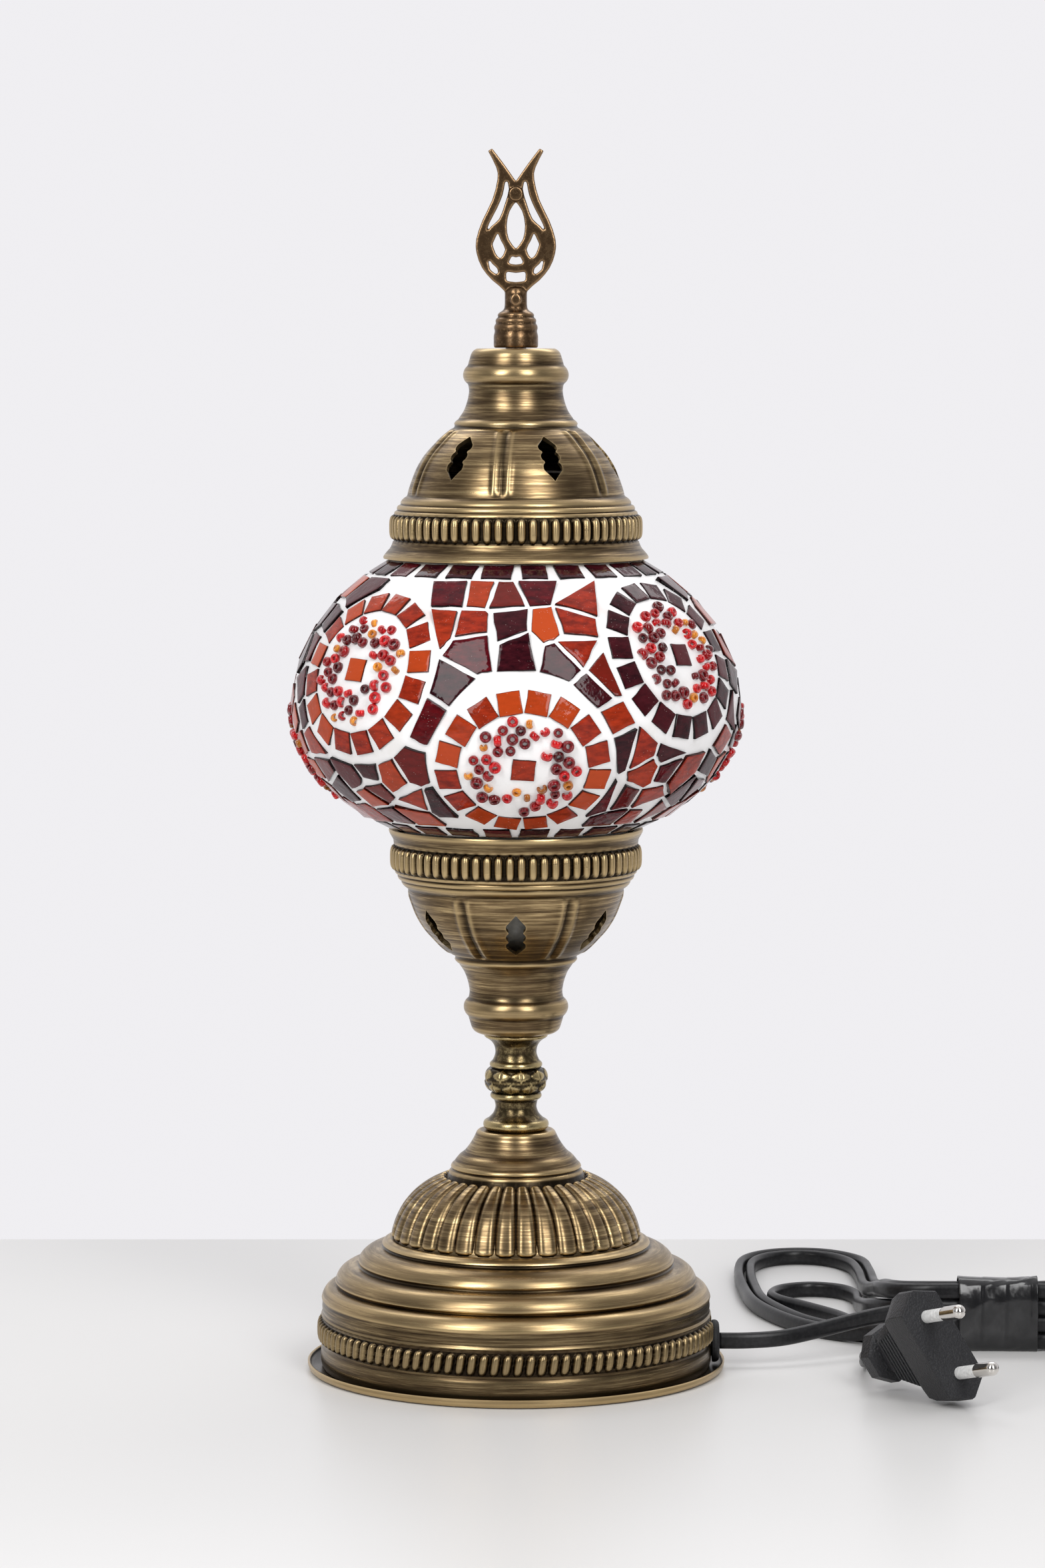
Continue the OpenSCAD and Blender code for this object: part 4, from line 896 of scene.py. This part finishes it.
def islands(node):
    """The separate pieces of a CAD node, as lists of faces of one welded mesh, in the same order each run."""
    mesh = bmesh.new()
    mesh.from_mesh(nodes[node].data)
    bmesh.ops.remove_doubles(mesh, verts=mesh.verts, dist=0.000002)
    mesh.faces.index_update()
    seen = set()
    parts = []
    for start in mesh.verts:
        if start in seen:
            continue
        seen.add(start)
        stack, faces = [start], set()
        while stack:
            vertex = stack.pop()
            faces.update(vertex.link_faces)
            for edge in vertex.link_edges:
                other = edge.other_vert(vertex)
                if other not in seen:
                    seen.add(other)
                    stack.append(other)
        parts.append(sorted(faces, key=lambda face: face.index))
    return mesh, parts


def middle_of(faces):
    """The mean of the faces' corners."""
    corners = dict.fromkeys(vertex for face in faces for vertex in face.verts)
    return sum((vertex.co for vertex in corners), Vector()) / len(corners)


def outward(place):
    """The globe's outward direction at a place on it."""
    off = place - GLOBE_MID
    tall = GLOBE_UP if off.z > 0 else GLOBE_DOWN
    return Vector((off.x / GLOBE_R ** 2, off.y / GLOBE_R ** 2, off.z / tall ** 2)).normalized()


FACING_OUT = 0.97  # the outer face of a tile looks straighter outward than this, and its sides do not


def top_outline(faces):
    """The corners of a tile's outer face, in order."""
    up = outward(middle_of(faces))
    top = [face for face in faces if face.normal.dot(up) > FACING_OUT]
    rim = {}
    for face in top:
        for loop in face.loops:
            if not any(other in top for other in loop.edge.link_faces if other is not face):
                rim[loop.vert] = loop.link_loop_next.vert
    first = next(iter(rim))
    outline, vertex = [], first
    while True:
        outline.append(vertex.co.copy())
        vertex = rim[vertex]
        if vertex is first:
            break
    return outline


# (depth below the CAD face and inset from its edge in mm, darkness), from a tile's foot to its top
TILE_LEVELS = ((1.45, 0.1, 1), (0.22, 0, 1), (0.06, 0.07, 0.6), (0, 0.3, 0), (-0.03, 1.5, 0))


def add_tiles(node, look, rng, rough_cut=0.22):
    """Each CAD tile as hand-cut glass: uneven edges, a nibbled rim, its own tilt and its own shade."""
    mesh, parts = islands(node)
    points, faces, shades, rims = [], [], [], []
    for part in parts:
        outline = top_outline(part)
        middle = sum(outline, Vector()) / len(outline)
        up = outward(middle)
        tilt = Matrix.Rotation(rng.gauss(0, 0.02), 3, Vector((1, 0, 0))) @ Matrix.Rotation(
            rng.gauss(0, 0.02), 3, Vector((0, 0, 1)))
        face_up = tilt @ up
        shade = rng.random() ** 2.2
        edge = []
        for a, b in zip(outline, outline[1:] + outline[:1]):
            along = (b - a).normalized()
            out = along.cross(up)
            steps = 3 if (b - a).length > 3 * MM else 1
            for k in range(steps):
                slip = rng.uniform(-rough_cut, rough_cut * 0.5) * MM
                edge.append(a.lerp(b, k / steps) + out * slip + along * (slip if k else 0))
        size = sum((p - middle).length for p in edge) / len(edge)
        first = len(points)
        count = len(edge)
        for sink, inset, rim in TILE_LEVELS:
            for p in edge:
                q = middle.lerp(p, max(0.1, 1 - inset * MM / size))
                lean = (face_up.dot(q - middle)) if sink < 1 else 0
                points.append(q - up * (sink * MM + lean))
                shades.append(shade)
                rims.append(rim)
        faces += bands(len(TILE_LEVELS), count, first)
        faces.append(tuple(first + (len(TILE_LEVELS) - 1) * count + k for k in range(count)))
    mesh.free()
    piece = add_mesh(node + "_cut", points, faces, look, "globe", sharp=24)
    store(piece, "shade", shades)
    store(piece, "rim", rims)
    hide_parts(node)


def bead_shape(radius, hole, half):
    """A seed bead's outline turned round its hole: a plump ring with flattened ends."""
    outline_points, around = 10, 20
    ring = [(hole + (radius - hole) * (0.5 - 0.5 * math.cos(a)), half * math.sin(a) * 1.1)
            for a in (FULL * k / outline_points for k in range(outline_points))]
    ring = [(r, max(-half, min(half, z))) for r, z in ring]
    points = [Vector((r * math.cos(t), r * math.sin(t), z))
              for t in (FULL * j / around for j in range(around)) for r, z in ring]
    return points, turned_over(bands(around, outline_points, closed=True))


def place_bead(points, faces, middle, radius, lying, rng):
    """Adds a bead at a place on the globe: on its flat, hole showing, or lying on its side."""
    shape, links = bead_shape(radius, radius * 0.34, radius * 0.62)
    up = outward(middle)
    base = up.to_track_quat("Z", "Y").to_matrix()
    spin = Matrix.Rotation(rng.uniform(0, FULL), 3, "Z")
    lean = Matrix.Rotation(math.pi / 2 + rng.gauss(0, 0.2) if lying else rng.gauss(0, 0.22), 3, "X")
    first = len(points)
    points += [middle + base @ (spin @ (lean @ (p * MM))) for p in shape]
    faces += [tuple(first + i for i in face) for face in links]


def add_beads(node, look, rng, radius, lying_share):
    """Each CAD bead as a glass one: its own size, turn, lean and shade."""
    mesh, parts = islands(node)
    points, faces, shades = [], [], []
    for part in parts:
        middle = middle_of(part)
        up = outward(middle)
        size = radius * rng.uniform(0.82, 1.08)
        lying = rng.random() < lying_share
        place_bead(points, faces, middle + up * (0.1 if lying else 0.3) * MM, size, lying, rng)
        shades += [rng.random() ** 2] * (len(points) - len(shades))
    mesh.free()
    piece = add_mesh(node + "_glass", points, faces, look, "globe")
    store(piece, "shade", shades)
    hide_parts(node)


def add_grout():
    """Plaster wiped nearly flush with the tiles, hollowed a little in the joints."""
    around, rows = 360, 180
    rng = random.Random(11)
    waves = [(rng.uniform(60, 420), rng.uniform(60, 420), rng.uniform(60, 420), rng.uniform(0, FULL))
             for _ in range(16)]
    points, stain = [], []
    low, high = math.radians(-57.5), math.radians(58)
    outer_sink, inner_sink, unevenness = 0.42, 2.42, 0.14
    for level in (outer_sink, inner_sink):
        for i in range(rows + 1):
            t = low + (high - low) * i / rows
            tall = GLOBE_UP if t > 0 else GLOBE_DOWN
            for k in range(around):
                a = k * FULL / around
                p = Vector((math.cos(a) * math.cos(t) * GLOBE_R, math.sin(a) * math.cos(t) * GLOBE_R,
                            tall * math.sin(t)))
                rough = sum(math.sin(u * p.x + v * p.y + w * p.z + phase) for u, v, w, phase in waves) / 4
                sink = level + (unevenness * rough if level == outer_sink else 0)
                points.append(p + GLOBE_MID - outward(p + GLOBE_MID) * sink * MM)
                stain.append(max(0.0, rough - 0.9) * 0.5)
    size = (rows + 1) * around
    faces = bands(rows + 1, around)
    faces += [tuple(size + v for v in reversed(face)) for face in faces]
    for k in range(around):
        j = (k + 1) % around
        end = rows * around
        faces += [(size + k, size + j, j, k), (end + k, end + j, size + end + j, size + end + k)]
    piece = add_mesh("grout", points, faces, GROUT, "globe")
    store(piece, "stain", stain)
    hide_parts("grout_bed")


rng = random.Random(3)
add_grout()
add_tiles("orange_tiles", ORANGE, rng, 0.12)
add_tiles("maroon_tiles", MAROON, rng, 0.12)
add_tiles("rim_tiles", MAROON, rng)
add_tiles("maroon_shards", MAROON, rng)
add_tiles("wine_shards", WINE, rng)
add_tiles("brick_shards", ORANGE, rng)
add_beads("red_beads", RED_BEAD, rng, 1.65, 0.5)
add_beads("maroon_beads", MAROON_BEAD, rng, 1.7, 0.1)
add_beads("amber_beads", AMBER_BEAD, rng, 1.4, 0.5)
paint(GLOBE_GLASS, "globe_glass")


# ------------------------------------------------------------------ inside and fittings

paint(STEEL, "pan_washer", "pan_nut", "threaded_tube", "cup_washer", "cup_nut", "cap_stud", "cap_nuts",
      "holder_terminals")
paint(SPRING, "cap_clip")
paint(RUBBER, "cord_gland")
paint(CORD, "inner_cord")
paint(BAKELITE, "holder_base", "holder_body")
paint(CERAMIC, "holder_insert")
paint(CONTACT, "holder_screw_shell", "holder_contact")
paint(BLUE_CORE, "core_wires")
paint(BULB_GLASS, "bulb_glass", "bulb_mount")
paint(NICKEL, "bulb_cap")
paint(CAP_GLASS, "bulb_insulator")
paint(SOLDER, "bulb_contact")
paint(FILAMENT, "bulb_filaments")
soften(0.25 * MM, "pan_nut", "cup_nut", "cap_nuts", "holder_body", "holder_base")


# ------------------------------------------------------------------ floor and light


TABLE_BACK = 0.208


def add_table():
    """A pale, slightly glossy table top; the white surroundings show beyond its back edge."""
    look = Look("table", roughness=0.34, specular_ior_level=0.3, base_color=(0.68, 0.675, 0.667))
    look.bump(look.noise(900, 3.0), 0.00002)
    corners = [(-3, -3, 0), (3, -3, 0), (3, TABLE_BACK, 0), (-3, TABLE_BACK, 0)]
    add_mesh("table", corners, [(0, 1, 2, 3)], look, None, smooth=False)


def add_world():
    """White surroundings at the sides and behind, darker from the front, seen by reflections only."""
    world = bpy.data.worlds.new("studio")
    scene.world = world
    world.use_nodes = True
    tree = world.node_tree
    background = tree.nodes["Background"]
    place = tree.nodes.new("ShaderNodeTexCoord").outputs["Generated"]
    split = tree.nodes.new("ShaderNodeSeparateXYZ")
    tree.links.new(place, split.inputs[0])
    ramp = tree.nodes.new("ShaderNodeMapRange")
    tree.links.new(split.outputs["Y"], ramp.inputs["Value"])
    for limit, value in (("From Min", -0.6), ("From Max", 0.4), ("To Min", 0.08), ("To Max", 0.92)):
        ramp.inputs[limit].default_value = value
    seen = tree.nodes.new("ShaderNodeLightPath").outputs["Is Camera Ray"]
    strength = tree.nodes.new("ShaderNodeMix")
    tree.links.new(seen, strength.inputs["Factor"])
    tree.links.new(ramp.outputs["Result"], strength.inputs["A"])
    strength.inputs["B"].default_value = 1.0
    tree.links.new(strength.outputs["Result"], background.inputs["Strength"])
    background.inputs["Color"].default_value = (0.87, 0.86, 0.885, 1)


def add_light(name, azimuth, elevation, distance, size, power):
    """A soft box aimed at the middle of the lamp; azimuth is from the front towards +X."""
    aim = Vector((0.03, 0, 0.16))
    data = bpy.data.lights.new(name, "AREA")
    data.shape = "RECTANGLE"
    data.size, data.size_y = size
    data.energy = power
    a, e = math.radians(azimuth), math.radians(elevation)
    away = Vector((math.sin(a) * math.cos(e), -math.cos(a) * math.cos(e), math.sin(e)))
    light = bpy.data.objects.new(name, data)
    light.location = aim + away * distance
    light.rotation_euler = away.to_track_quat("Z", "Y").to_euler()
    scene.collection.objects.link(light)


add_table()
add_world()
add_light("key_left", -34, 30, 1.5, (0.42, 1.2), 13)
add_light("key_right", 25, 30, 1.5, (0.42, 1.2), 13)
add_light("top", 10, 82, 1.3, (1.2, 1.2), 2)
add_light("back", 180, 55, 0.9, (1.2, 0.3), 3)
